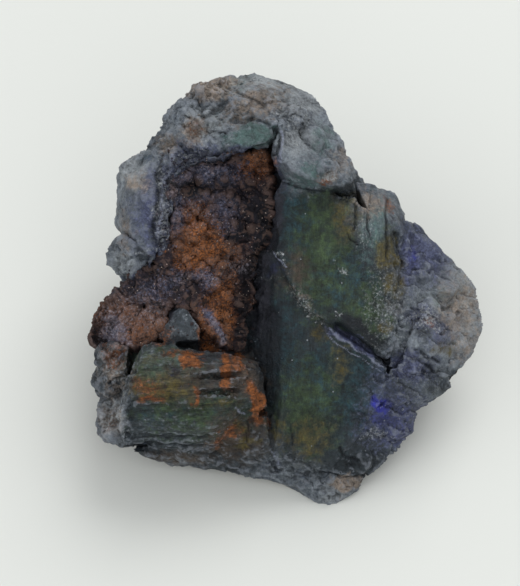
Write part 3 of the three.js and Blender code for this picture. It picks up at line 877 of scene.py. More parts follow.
CRYSTAL_STAINS = {
    # Pale crust, partly painted sheen; on the left foot these spots paint light on a down-facing side.
    Stain.FROST_AND_SHEEN: spots(
        (27, -3, 5, 7, 0, 1, 0.8), (24, 0.8, 2, 1.4, 0, 0.8, 0.8), (25, -9.5, 2.2, 2, 0, 0.8, 0.8),
        (-25, 19.5, 3.4, 2.6, 0, 0.8, 0.7), (-5, 33, 9, 2.2, 0, 0.8, 0.7),
        (2, 30, 5, 2.4, 0, 0.8, 0.8), (1.5, 23.5, 3.6, 3, 0, 0.7, 0.8),
        (-13.5, 27, 3.4, 2.6, 20, 0.8, 0.8), (-28.8, -11, 2, 2.4, 0, 0.7, 0.8),
        (-28.5, -20.5, 2, 3, 0, 0.8, 0.8), (7, -33, 2.4, 1.6, 0, 0.7, 0.8),
        (-27, 4.5, 2, 2, 0, 0.6, 0.8), (-17, -27.4, 3, 0.8, 0, 0.6, 0.8),
    ),
    # Partly dust, partly painted sheen on the cap, the tops and the shaded left foot.
    Stain.DUST_AND_SHEEN: spots(
        (-10, 28, 15, 9, 20, 1, 0.35), (2, 25, 9, 9, 0, 1, 0.35), (5, 20, 5, 4), (-24, 14, 6, 11),
        (-26, 4, 3.5, 4), (14, 13, 4.5, 4.5, 0, 0.7, 0.8), (24, 0, 7, 12, -30), (26, -8, 5, 6),
        (-29.5, -20, 2.4, 5, 0, 0.9, 0.7), (-29.5, -11, 2.4, 3, 0, 0.6, 0.9),
        (7, -33, 4, 3, 0, 0.8), (19, -20, 7, 7, 45, 0.6, 0.9), (-27, -19.5, 1.1, 5, -12, 0.8, 0.7),
        (-17, -21.8, 9, 2.2, 0, 0.3, 0.8), (-17.5, -5, 3, 3, 0, 0.3, 0.8),
        (-21, -10.6, 4, 1.6, 0, 0.5, 0.8), (0, -31, 8, 4, -20, 0.6, 0.8),
        (-18, -27.4, 6, 1.2, 0, 0.6, 0.8),
    ),
    Stain.GREEN: spots(
        (-6.5, 24.4, 4, 2.6, 0, 0.45, 0.8), (5, 5, 5, 9, 0, 1, 0.9), (6, 12, 5, 4, 0, 0.9, 0.9),
        (12, -3, 5, 5, 0, 0.9, 0.9), (3, -18, 5, 7, 0, 0.9, 0.9), (-20, -12, 6, 3, 0, 1, 0.8),
        (-14, -20, 9, 4, 0, 0.9, 0.8),
    ),
    Stain.JADE: spots(
        (-6, 24.6, 4, 2.4, 10), (5.4, 24, 1.8, 2.4, 0, 0.7, 0.8), (3, 18, 3, 1.8, 0, 0.8, 0.8),
        (14, 10, 2.6, 5, 0, 0.7, 0.8), (24, -1, 2, 3, 0, 0.5, 0.9), (-19, -12, 5, 2, 0, 0.6, 0.9),
        (-10, 33, 4, 1.2, 15, 0.6, 0.8),
    ),
    Stain.TEAL: spots(
        (-6.5, 24.2, 5, 3, 0, 0.5, 0.8), (4, 19, 4, 3, 0, 0.6, 0.8),
        (-22.6, 20.8, 1.4, 1.2, 0, 0.9, 0.7), (-11.4, 29, 2.4, 0.8, 42, 0.8, 0.7),
        (0, 12, 4, 7, 0, 1, 0.9), (9, 1, 6, 5, 0, 1, 0.9), (9, -15, 7, 7, 0, 1, 0.9),
        (-2, -8, 4, 9, 0, 0.8, 0.9), (-10, -18, 5, 4, 0, 0.8, 0.9),
        (-13, -13.6, 5, 1.2, 0, 0.7, 0.8), (-20, -20, 6, 2, 0, 0.6, 0.9),
        (6, -23, 3, 4, 0, 0.8, 0.9),
    ),
    Stain.OCHRE: spots(
        (8.8, 11.2, 2, 3.4, 0, 0.7, 0.9), (16, 4.4, 2, 2, 0, 0.8, 0.8),
        (17, 1, 1.8, 2, 0, 0.8, 0.8), (3.5, -24, 3.6, 3.2, 0, 0.7, 0.9),
        (-1.5, -23, 2, 2.6, 0, 0.6, 0.9), (8, -12, 1.6, 4, 0, 0.6, 0.9),
        (5, -7, 1.4, 1.4, 0, 0.6, 0.9), (-20.5, -15.8, 5, 2.2, 0, 1, 0.8),
        (-22, -11.4, 2.6, 0.9, 0, 0.6, 0.8), (-11, -18.4, 3, 0.8, 0, 0.6, 0.8),
        (25, -9.3, 2.6, 1.2, 0, 0.6), (26.5, -2, 3, 6, 0, 0.35, 0.9),
        (15.6, 6.5, 1.3, 3.4, 0, 0.8, 0.8), (14.8, -5.6, 1.4, 0.9, 0, 0.8),
        (-7, -25, 2, 0.9, 0, 0.9), (-8, -22.5, 1.2, 0.8, 30, 0.8, 0.8),
        (-20, -15, 3, 0.8, 0, 0.8, 0.8),
    ),
    Stain.RUST: spots(
        (-15.6, -11.2, 2, 1.4, 0, 1, 0.4), (-10.2, -12.6, 0.9, 2.9, 8, 1, 0.4),
        (-8.6, -11.5, 1, 1.6, 0, 0.7), (-5.6, -16.8, 1, 3.2, 25, 1, 0.4),
        (-15.3, -17, 0.6, 1.6, 0, 0.8), (-22, -17.6, 1.8, 0.7, 0, 0.7),
        (-11.6, -24, 0.8, 1, 0, 0.7), (-4.6, -21, 1.2, 1.4, 0, 0.8, 0.8),
        (-9.6, -23, 1.4, 0.8, 20, 0.7, 0.8), (-22.5, -15.2, 2.4, 1.2, 0, 0.6, 0.9),
        (-19, -10.2, 1.6, 0.6, 0, 0.6, 0.9), (-28.5, -11, 1.8, 1.4, 0, 0.6, 0.9),
        (-29, -21.5, 1, 1, 0, 0.5, 0.9), (22, -5.2, 1, 0.8, 0, 0.6, 0.9),
        (-15.2, 25.4, 1, 2, 0, 0.35, 0.8), (-5, 19.8, 2.4, 1.4, 0, 0.8),
        (5.8, 17.4, 1.2, 1, 0, 0.6, 0.8), (15.7, 13.4, 0.9, 0.9, 0, 0.5, 0.9),
        (-20.6, -7.4, 2.2, 1.6, 30, 0.35), (-28, -9.6, 2.4, 1.4, 0, 0.6, 0.9),
        (-12.4, -8.6, 1.6, 1.2, 0, 0.8), (-13.5, -6.4, 1.3, 1.9, 0, 1, 0.4),
    ),
    Stain.BROWN: spots(
        (-8, -14.2, 3.4, 4, 0, 0.8, 0.8), (-28.5, -12, 3, 3.6, 0, 0.5, 0.9),
        (-4, 30.5, 5, 2.6, 0, 0.5, 0.8), (-8, 28, 3, 2, 0, 0.5, 0.8), (1, 3, 2.4, 3, 0, 0.7, 0.9),
        (17, -2.5, 2, 2, 0, 0.4), (-18, -27, 6, 1.3, 0, 0.7, 0.8),
        (-19.5, 23.5, 1.8, 1.5, 0, 0.6, 0.8), (-15, -14, 8, 4, 0, 0.6, 0.9),
        (-9, -24, 5, 4, 0, 0.8, 0.8), (-4.8, -21, 1.6, 2, 0, 0.7, 0.8),
        (-26.4, 10, 1.2, 3, 0, 0.4, 0.9),
    ),
    # Plum, mostly painted shade on the steep wall beside the recess.
    Stain.PLUM_AND_SHADE: spots(
        (-5.2, 2, 2.2, 9, 4, 0.9, 0.9), (-2.8, 13, 1.6, 6, -8, 0.8, 0.9),
        (-12, 21, 4, 1, 0, 0.6, 0.9), (-17, 20.4, 2.2, 1.6, 0, 0.5, 0.9),
        (-12, -9.6, 6, 1.2, 0, 0.6, 0.9),
    ),
    Stain.VIOLET: spots(
        (-15, 21.8, 4, 1.8, 0, 0.8, 0.9), (-22.4, 13, 1.4, 7, 0, 0.8, 0.9),
        (19.5, 5, 1.8, 5, 0, 0.9, 0.8), (22, -4.5, 3.4, 2, 0, 0.7),
        (19.5, -12.5, 3.4, 2.4, 0, 0.9, 0.8), (10, -8.4, 5, 0.9, -33, 0.9),
        (-24, 11, 2.6, 5, 0, 0.5, 0.9), (22, 6.4, 5.5, 2.4, -51, 0.85, 0.8),
        (23.5, 2, 3, 2, -35, 0.5, 0.9), (-17, 19.5, 3, 2, 0, 0.7, 0.8),
        (-19.3, 12, 1.6, 7, 0, 0.6, 0.8), (24.5, -6.5, 3, 3, 0, 0.75, 0.9),
        (15.5, -15, 3, 4, 0, 0.5, 0.9), (18, -20, 4, 5, 40, 0.6, 0.9),
    ),
    Stain.BLUE: spots(
        (-18.4, -13.2, 1, 1.1, 0, 0.35, 0.9), (14.4, -18.4, 1.1, 1.1, 0, 0.9, 0.9),
        (14.6, -20.5, 2.4, 3, 0, 0.45, 0.9), (19.6, 5.8, 0.9, 1.4, 0, 0.5, 0.9),
        (16, -22, 5, 5, 45, 0.35, 0.9), (10, -8.4, 5, 0.9, -33, 0.2, 0.9),
        (20.5, 7, 3, 1.4, -51, 0.15, 0.9), (-2.8, 3.6, 0.8, 1.2, 0, 0.4, 0.9),
    ),
    Stain.TAN: spots(
        (-12.5, 32.6, 4.4, 2, 12), (-5.5, 30, 5, 2.4, 15, 0.7, 0.8),
        (-15.4, 25.6, 1.6, 2.4, 0, 0.9, 0.8), (-19.4, 23.6, 1.8, 1.5, 0, 0.7, 0.8),
        (-29, -20.5, 2, 2.6, 0, 0.9, 0.8), (-28.5, -16, 2, 3, 0, 0.5, 0.9),
        (-24.5, 17.4, 1.6, 1.6, 0, 0.8, 0.8), (-26.4, 9, 1.2, 3, 0, 0.5, 0.9),
        (8.2, 21, 1.6, 2.4, 0, 0.6, 0.8), (6.4, 18.4, 1, 1.1, 0, 0.7),
        (12, 14.8, 1.4, 1.8, 0, 0.6, 0.8), (9.4, -31.2, 2.2, 1.3, 20),
        (-28, -12.5, 2.4, 2, 0, 0.6, 0.8), (-29, -21, 1, 0.9, 0, 0.8),
        (27.5, -3, 3.5, 5, 0, 0.7, 0.8), (29, -10, 2.4, 4, -20, 0.6, 0.8),
        (12.6, 13.6, 2.4, 2.4, 0, 0.8, 0.8), (2.6, -2.4, 3.4, 1.1, -48, 0.35, 0.9),
        (3.8, -3.6, 1.6, 0.9, -30, 0.3, 0.9), (-23, 17, 1.2, 1.4, 0, 0.5),
    ),
    # Pale chips and crust, partly painted highlight: the left foot's shaded face, the left ridge and the
    # lit strip by the fissure.
    Stain.PALE: spots(
        (0.8, 26, 1.4, 1.9, 0, 0.7, 0.8), (-2.2, 28.2, 1.1, 0.7, 0, 0.6),
        (6.2, 18.4, 0.8, 0.7, 0, 0.9), (-14, 23.2, 1.2, 1.2, 0, 0.6, 0.8),
        (2.6, -2.6, 3.4, 0.9, -48, 0.32, 0.9), (15, -3, 3.4, 6, 0, 0.28, 0.9),
        (12.4, 9, 2, 3, 0, 0.2, 0.9), (-1.9, 5.4, 0.8, 0.2, -52, 0.6), (8.2, 3.6, 0.8, 0.4, 0, 0.7),
        (7.8, -4, 0.9, 0.5, 0, 0.6), (14, -23.5, 2.4, 0.7, 10, 0.6),
        (-27, -22.3, 1.1, 2.2, 30, 0.5, 0.8), (22, -4.5, 2.2, 1.6, 0, 0.8, 0.8),
        (-19, 13, 1, 6, 0, 0.45, 0.9), (-28.8, -20.6, 2, 2.6, 0, 0.9, 0.9),
        (-28.6, -12, 2, 3, 0, 0.35, 0.9), (-20.4, 14, 0.9, 7, 0, 0.7, 0.9),
        (-23.4, 6.6, 2, 0.3, 0, 0.7, 0.8), (-3.2, 2.2, 2, 0.18, 0, 0.45, 0.8),
        (-12.6, -7.2, 0.7, 2.6, 38, 0.7, 0.8), (-18.2, -2.6, 1.2, 0.5, 0, 0.6, 0.8),
        (-16.5, 21.4, 2.4, 0.8, 20, 0.45, 0.9),
    ),
    # Painted shade: the plates' shaded left flank, the fissure's shadow, the shaded facet under the cap
    # and dark notches.
    Stain.DARK: spots(
        (-4.2, -4, 2.6, 14, 3, 1, 0.8), (-3.2, 9, 2.4, 7, -6, 0.9, 0.8),
        (9, 15.3, 2.2, 1.6, 0, 0.7, 0.7), (-9, -20, 6, 2.5, 0, 0.5, 0.9),
        (10.4, -6.1, 5.6, 1, -35, 1, 0.8), (-9, 21.3, 6, 0.7, 0, 0.5, 0.9),
        (-17, -8.3, 5, 0.7, -6, 0.9), (-28, -15.8, 1.8, 1.2, 0, 0.6, 0.8),
        (-2.8, 22.4, 0.8, 2, 0, 0.7), (21, -7.2, 1, 1, 0, 0.6),
    ),
}


@dataclass
class AzuriteCrystals(WeatheredPiece):
    """The intergrown azurite crystals, with ribbed, ledged and crumbled faces.

    Attributes:
        facet: The size of a weathered face's broad facets, in mm.
        shard: The size of broken shards, in mm.
        sliver: The size of the slivers on them, in mm.
        crumb: The size of the crumbs on crumbled faces, in mm.
        ledge: The distance from one ledge to the next, in mm.
        rim_width: How far the rough rim of the recess reaches outwards, in mm.
        zones: Where each kind of unevenness lies.
        cracks: The grooves.
        ridges: The raised lines, lighter partly as pale chipped edges and partly as painted highlight.
    """

    node: str = "azurite_crystals"
    name: str = "azurite_crystals_worked"
    slot: str = "azurite"
    tints: dict[Stain, tuple[Spot, ...]] = field(default_factory=lambda: CRYSTAL_STAINS)
    facet: float = 3.6
    shard: float = 2.7
    sliver: float = 1.15
    crumb: float = 0.8
    ledge: float = 3.0
    rim_width: float = 2.6
    zones: dict[Relief, tuple[Spot, ...]] = field(default_factory=lambda: CRYSTAL_ZONES)
    cracks: tuple[Line, ...] = CRYSTAL_CRACKS
    ridges: tuple[Line, ...] = CRYSTAL_RIDGES

    def work(self, surface: Surface) -> None:
        """Gives each face its own kind of unevenness, then opens the cracks.

        Args:
            surface: The surface to move.
        """
        x, up = surface.stray(0.7, 2.4, 2, (3, 9))
        front = smoothstep(-0.1, 0.35, surface.facing[:, 2])
        zone = {kind: combine(area, x, up) * front for kind, area in self.zones.items()}
        slope = (up * 0.9 + x * 0.45) / self.ledge + 0.45 * surface.grain(2.4, 2, 3)
        height = self.breaks(surface, zone) + self.lay(surface, zone, slope)
        self.push(surface, height + front * self.lines(surface))

    def breaks(self, surface: Surface, zone: dict[Relief, np.ndarray]) -> np.ndarray:
        """Breaks the faces into facets, shards and slivers, and wears back the recess's rim.

        Args:
            surface: The surface before it is moved.
            zone: How much of each kind of unevenness there is.

        Returns:
            A height in mm for each vertex.
        """
        shards, slivers = surface.chips(self.shard, 16), surface.chips(self.sliver, 17)
        calm = 1.0 - 0.85 * zone[Relief.FLAT]
        calm *= np.clip(1.0 - 0.8 * zone[Relief.SMOOTH] - 0.75 * zone[Relief.RIBBED], 0.1, 1.0)
        height = calm * (0.5 * surface.facets(self.facet, 11) + 0.6 * shards + 0.14 * slivers)
        height += calm * 0.1 * surface.grain(1.0, 4, 2) + 0.04 * surface.grain(0.8, 3, 4)
        height += zone[Relief.BROKEN] * (0.7 * shards + 0.35 * slivers)
        height += zone[Relief.RIBBED] * 0.1 * slivers
        rim = 1.0 - smoothstep(0.0, self.rim_width, -RECESS.reach(*surface.face[:, :2].T))
        rim *= smoothstep(0.1, 0.6, surface.facing[:, 2])
        return height + rim * (0.5 * slivers + 0.4 * surface.grain(1.1, 4, 19) - 0.9)

    def lay(self, surface: Surface, zone: dict[Relief, np.ndarray], slope: np.ndarray) -> np.ndarray:
        """Adds ribs, combed lines and ledges, which run one way, and crumbs.

        Args:
            surface: The surface before it is moved.
            zone: How much of each kind of unevenness there is.
            slope: How many ledges each vertex lies up the face.

        Returns:
            A height in mm for each vertex.
        """
        ribs = surface.streaks(7.0, 0.7, 4.0, 5)
        deep = np.abs(surface.streaks(9.0, 1.6, 3.0, 8))
        height = zone[Relief.RIBBED] * (0.22 * ribs - 0.3 * deep)
        height += zone[Relief.COMBED] * 0.07 * surface.streaks(7.0, 0.45, 84.0, 7)
        steps = 0.42 * (slope - np.floor(slope)) - 0.2 + 0.1 * surface.streaks(5.0, 0.8, -27.0, 6)
        height += zone[Relief.LEDGED] * steps
        crumbs = 0.16 * surface.chips(self.crumb, 13) + 0.1 * surface.grain(self.crumb, 3, 14)
        return height + zone[Relief.CRUMBLED] * crumbs

    @staticmethod
    def line_places(surface: Surface) -> tuple[np.ndarray, np.ndarray]:
        """Shifts the places on the face, so that the cracks and ridges don't run straight.

        Args:
            surface: The surface that they are drawn on.

        Returns:
            The shifted x and up of each vertex, in mm.
        """
        x, up, _ = surface.face.T
        return x + 0.45 * surface.grain(2.4, 2, 3), up + 0.3 * surface.grain(1.2, 2, 9)

    def lines(self, surface: Surface) -> np.ndarray:
        """Opens the cracks and raises the ridges.

        Args:
            surface: The surface before it is moved.

        Returns:
            A height in mm for each vertex, below 0 in a crack.
        """
        x, up = self.line_places(surface)
        depth = sum(crack.depth * crack.cover(x, up) for crack in self.cracks)
        rise = sum(ridge.depth * ridge.cover(x, up) for ridge in self.ridges)
        return rise * (0.55 + 0.9 * surface.grain(0.9, 3, 18)) - depth

    def stains(self, surface: Surface, fine: np.ndarray, broad: np.ndarray) -> dict[str, np.ndarray]:
        """Finds where the dust and painted sheen, malachite, rust, painted shade and other tints lie.

        Args:
            surface: The worked surface.
            fine: How hollow each vertex is beside its close neighbours, in mm.
            broad: How hollow it is beside the wider surface round it, in mm.

        Returns:
            A value from 0 to 1 for each vertex, under each stain's name.
        """
        x, up = surface.stray(1.1, 2.2, 3, (21, 27))
        front = smoothstep(-0.35, 0.2, surface.facing[:, 2])
        behind = 1.0 - smoothstep(-0.3, 0.35, surface.facing[:, 2])
        masks = {stain.value: combine(area, x, up) * front for stain, area in self.tints.items()}
        for kind in (Relief.COMBED, Relief.RIBBED):
            masks[kind.value] = combine(self.zones[kind], x, up) * front
        for stain, cover in self.hidden_patches(surface).items():
            self.deepen(masks, stain, behind * cover)
        rim = self.stain_rim(masks, surface, x, up, front)
        line_x, line_up = self.line_places(surface)
        cracked = np.maximum.reduce([crack.cover(line_x, line_up) for crack in self.cracks])
        raised = np.maximum.reduce([ridge.cover(line_x, line_up) for ridge in self.ridges])
        # Paints shade into the cracks.
        self.deepen(masks, Stain.DARK, 0.65 * cracked * front)
        # Lightens the ridges, partly as chipped edges and partly as painted highlight.
        masks[ShadeAndWear.LINE.value] = raised * front
        # Paints shade in the hollows.
        masks[ShadeAndWear.HOLLOW_SHADE.value] = np.maximum(
            smoothstep(0.02, 0.16, fine), 0.8 * smoothstep(0.1, 0.6, broad)
        )
        edge = np.maximum(smoothstep(0.02, 0.16, -fine), 0.6 * smoothstep(0.1, 0.6, -broad))
        kinds = (Stain.DARK, Stain.RUST, Stain.OCHRE, Stain.PLUM_AND_SHADE, Relief.COMBED)
        covered = np.maximum.reduce([masks[kind.value] for kind in kinds])
        bare = 1.0 - 0.85 * np.clip(covered, 0.0, 1.0)
        # Lightens the edges, partly as rubbed edges and partly as painted sheen.
        masks[ShadeAndWear.EDGE.value] = edge * bare * (1.0 - 0.6 * rim) * (1.0 - 0.45 * behind)
        return masks

    @staticmethod
    def hidden_patches(surface: Surface) -> dict[Stain, np.ndarray]:
        """Strews stains over the back and the flanks, which no picture shows.

        Args:
            surface: The worked surface.

        Returns:
            A value from 0 to 1 for each vertex, under each stain.
        """
        cloud, patch, fleck = (
            surface.grain(size, 3, seed) for size, seed in ((9.0, 71), (8.0, 72), (5.0, 73))
        )
        return {
            # Paints sheen, with some dust, on the hidden faces that point up.
            Stain.DUST_AND_SHEEN: smoothstep(-0.2, 0.7, 0.9 * surface.normals[:, 2] + 0.7 * cloud),
            Stain.TEAL: 0.8 * smoothstep(0.0, 0.45, patch),
            Stain.VIOLET: 0.5 * smoothstep(0.1, 0.5, -cloud),
            Stain.BROWN: 0.8 * smoothstep(0.1, 0.5, -patch),
            Stain.OCHRE: 0.7 * smoothstep(0.25, 0.6, fleck),
            Stain.RUST: 0.5 * smoothstep(0.35, 0.7, -fleck),
        }

    def stain_rim(
        self, masks: dict[str, np.ndarray], surface: Surface, x: np.ndarray, up: np.ndarray,
        front: np.ndarray,
    ) -> np.ndarray:
        """Paints shade on the crystals along the recess, violet-tinted high up and at the left, plum
        elsewhere.

        Args:
            masks: The stains so far, which it adds to.
            surface: The worked surface.
            x: Places to the right.
            up: Places up the face.
            front: How much each vertex faces the way that the broad face does.

        Returns:
            A value for each vertex, 1 on the rim and 0 away from it.
        """
        reach = RECESS.reach(x, up) + 1.6 * surface.grain(4.0, 3, 63)
        rim = front * (1.0 - smoothstep(0.3, 2.8, np.abs(reach)))
        high_or_left = np.maximum(smoothstep(-14.0, -18.0, x), smoothstep(15.0, 18.0, up))
        cool = high_or_left * smoothstep(0.0, 3.0, up)
        self.deepen(masks, Stain.DARK, 0.55 * rim * cool)
        self.deepen(masks, Stain.VIOLET, 0.8 * rim * cool)
        self.deepen(masks, Stain.PLUM_AND_SHADE, 0.8 * rim * (1.0 - cool))
        return rim


MATRIX_STAINS = {
    Stain.TAN: spots(
        (-25.5, -4, 6, 3, -12, 1, 0.8), (-18.6, 8.5, 2.2, 3, 0, 0.9, 0.8),
        (-28.5, -6, 3, 3, 0, 1, 0.8), (-13, -5, 1.4, 2.4, 0, 0.6, 0.8),
    ),
    Stain.RUST: spots(
        (-15.5, 9, 4, 5, 40, 1, 0.6), (-18, 8.5, 2.4, 2.4, 0, 1, 0.6),
        (-14.5, 5, 4.5, 3, 0, 1, 0.6), (-5, 19.8, 3.2, 2.6, 0, 1, 0.6),
        (-10.5, -3.5, 4, 5, 0, 1, 0.7), (-13.6, -6, 1.6, 2), (-25.5, -5, 6, 2.6, -12, 0.9, 0.8),
        (-7.5, 6, 1.8, 1.6, 0, 0.7, 0.8),
    ),
    Stain.BROWN: spots((-8, 15, 4, 3.5), (-7.5, 10, 4, 7), (-8, 0, 3, 5)),
    # Plum, mostly painted shade beside the plates' wall and under the cap.
    Stain.PLUM_AND_SHADE: spots(
        (-5, 13, 3.4, 6, 0, 0.9, 0.9), (-6.5, 5, 2, 6, 0, 0.8, 0.9),
        (-7.6, -4, 1.4, 6, 0, 0.9, 0.9), (-11, 16.5, 6, 1.8, 0, 0.7, 0.9),
        (-14, 20.6, 3, 1, 0, 0.5, 0.9),
    ),
    Stain.VIOLET: spots(
        (-14, 18, 6, 3.4, 0, 1, 0.7), (-19, 14, 2.2, 5, 0, 1, 0.7), (-10, 12.6, 3, 3, 0, 0.6, 0.8),
        (-22.5, 0, 5, 2.5, 0, 0.55, 0.8), (-17, 1.5, 5, 1.8, 0, 0.7, 0.8),
        (-28.5, -6.8, 2.2, 2.2, 0, 0.8, 0.8), (-12.2, -5.6, 0.9, 4, 24, 1, 0.7),
    ),
    Stain.PALE: spots(
        (-8.5, 4.2, 2, 1.2, -20, 0.6, 0.9), (-13, 2.5, 2.2, 1.6, 0, 0.45, 0.9),
        (-17.5, 2, 2.4, 1.2, 0, 0.4, 0.9), (-15, 19, 4.5, 1.6, 0, 0.4, 0.9),
        (-15, 12, 2.5, 3, 0, 0.25, 0.9), (-18.8, 13, 1.6, 5, 0, 0.5, 0.9),
        (-28.5, -6, 3, 3, 0, 0.8, 0.9), (-24, -3, 5, 2.4, -15, 0.5, 0.9),
        (-11.6, -7, 0.8, 3, 24, 0.6, 0.9),
    ),
    # Painted shade: under the cap's lip and beside the plates' steep wall.
    Stain.DARK: spots(
        (-6.5, 13, 2.6, 4, 0, 0.6, 0.9), (-15.5, 16.3, 3.4, 1.5, 0, 0.9, 0.7),
        (-8.8, 8.8, 1.8, 1.3, 0, 0.9, 0.7), (-4.6, 9, 1.8, 9, -6, 0.8, 0.8),
        (-7.2, -2, 1.2, 9, 0, 0.7, 0.8), (-10, -8, 2.5, 1.2, 0, 0.5, 0.8),
        (-10, 16, 4, 2, 0, 0.5, 0.8),
    ),
}


@dataclass
class LimoniteMatrix(WeatheredPiece):
    """The rusty granular matrix, grown up against the crystals.

    Attributes:
        swell: How far the whole surface swells outwards, in mm.
        rim: Places along its border and how far out the crystals stand there, in mm.
        warm_corner: Where the border gets no painted shade and keeps its rust.
    """

    node: str = "limonite_matrix"
    name: str = "limonite_matrix_worked"
    slot: str = "limonite"
    tints: dict[Stain, tuple[Spot, ...]] = field(default_factory=lambda: MATRIX_STAINS)
    voxel: float = 0.17
    melt: int = 1
    swell: float = 0.42
    rim: tuple[tuple[float, float, float], ...] = (
        (-18.6, 18.5, 0.5), (-20.3, 13, 0.7), (-20.2, 8, 0.4), (-20, 4, -0.8), (-16, 21, 0.6),
        (-11, 21, 0.9), (-5, 21, 1.2), (-2.6, 19, 0.4), (-2.7, 14, 0.1), (-4.5, 9.5, -1.4),
        (-6.3, 2, -3.4), (-7, -4, -3.4), (-8, -9, -2.4), (-10.5, -9.3, 0.6), (-13.3, -6.5, 0.9),
        (-15.2, -1.8, 0.5), (-22, 3.6, -1.6), (-25.8, 0.4, -3), (-31, -4.4, -6.5),
        (-31.4, -8.2, -7), (-25, -9, -0.8), (-21.8, -7.8, 0.1), (-19, -2.2, 0.2),
    )
    warm_corner: Spot = Spot(-5, 19.4, 3.2, 2.8, edge=0.4)

    def work(self, surface: Surface) -> None:
        """Runs the matrix up against the crystals and covers it with broken grains.

        Args:
            surface: The surface to move.
        """
        x, up, out = surface.face.T
        shown = smoothstep(0.1, 0.5, surface.facing[:, 2])
        near = 1.0 - smoothstep(0.2, 2.4 + 0.8 * surface.grain(2.0, 2, 41), RECESS.reach(x, up))
        lift = near * shown * np.clip(self.rim_level(x, up) - out, -2.5, 3.2)
        surface.points += np.array(FACE.outwards()) * (lift * MM)[:, None]
        knobs = 0.34 * surface.chips(2.4, 31) + 0.1 * surface.chips(1.0, 32)
        grit = 0.07 * surface.chips(0.5, 33) + 0.05 * surface.cells(0.5, 33)
        billow = 1.0 - 2.0 * np.abs(surface.grain(2.6, 5, 34))
        height = self.swell + knobs + grit + 0.55 * billow + 0.42 * surface.grain(0.75, 4, 35)
        self.push(surface, height + 0.5 * near * (1.0 - shown))

    def rim_level(self, x: np.ndarray, up: np.ndarray) -> np.ndarray:
        """Finds how far out the crystals stand beside each place.

        Args:
            x: Places to the right.
            up: Places up the face.

        Returns:
            A distance out from the broad face, in mm, for each place.
        """
        total, whole = np.zeros(len(x)), np.zeros(len(x))
        for at_x, at_up, out in self.rim:
            weight = 1.0 / (0.3 + (x - at_x) ** 2 + (up - at_up) ** 2) ** 1.5
            total += weight * out
            whole += weight
        return total / whole

    def stains(self, surface: Surface, fine: np.ndarray, broad: np.ndarray) -> dict[str, np.ndarray]:
        """Finds where the matrix is orange, brown, purple-grey or pale, and where shade is painted on
        it.

        Args:
            surface: The worked surface.
            fine: How hollow each vertex is beside its close neighbours, in mm.
            broad: How hollow it is beside the wider surface round it, in mm.

        Returns:
            A value from 0 to 1 for each vertex, under each stain's name.
        """
        x, up = surface.stray(1.3, 2.2, 4, (31, 37))
        masks = {stain.value: combine(area, x, up) for stain, area in self.tints.items()}
        # Paints plum shade along the border of the recess, except at the warm corner.
        rim = 1.0 - smoothstep(0.0, 2.0, np.abs(RECESS.reach(x, up)))
        rim *= smoothstep(-6.0, 0.0, up) * (1.0 - self.warm_corner.cover(x, up))
        self.deepen(masks, Stain.PLUM_AND_SHADE, 0.75 * rim)
        # Paints shade in the hollows.
        masks[ShadeAndWear.HOLLOW_SHADE.value] = np.maximum(
            0.55 * smoothstep(0.03, 0.2, fine), 0.95 * smoothstep(0.08, 0.55, broad)
        )
        # Lightens the edges, partly as rubbed edges and partly as painted sheen.
        masks[ShadeAndWear.EDGE.value] = np.maximum(
            smoothstep(0.02, 0.16, -fine), 0.5 * smoothstep(0.1, 0.7, -broad)
        )
        return masks


@dataclass(frozen=True)
class GrainField:
    """An area over which loose grains are strewn.

    Attributes:
        area: Where they lie on the broad face.
        count: How many there are.
        smallest: The radius of the smallest, in mm.
        largest: The radius of the largest, in mm.
        stains: How strongly each stain colours them.
    """

    area: tuple[Spot, ...]
    count: int
    smallest: float
    largest: float
    stains: tuple[tuple[Stain, float], ...] = ()


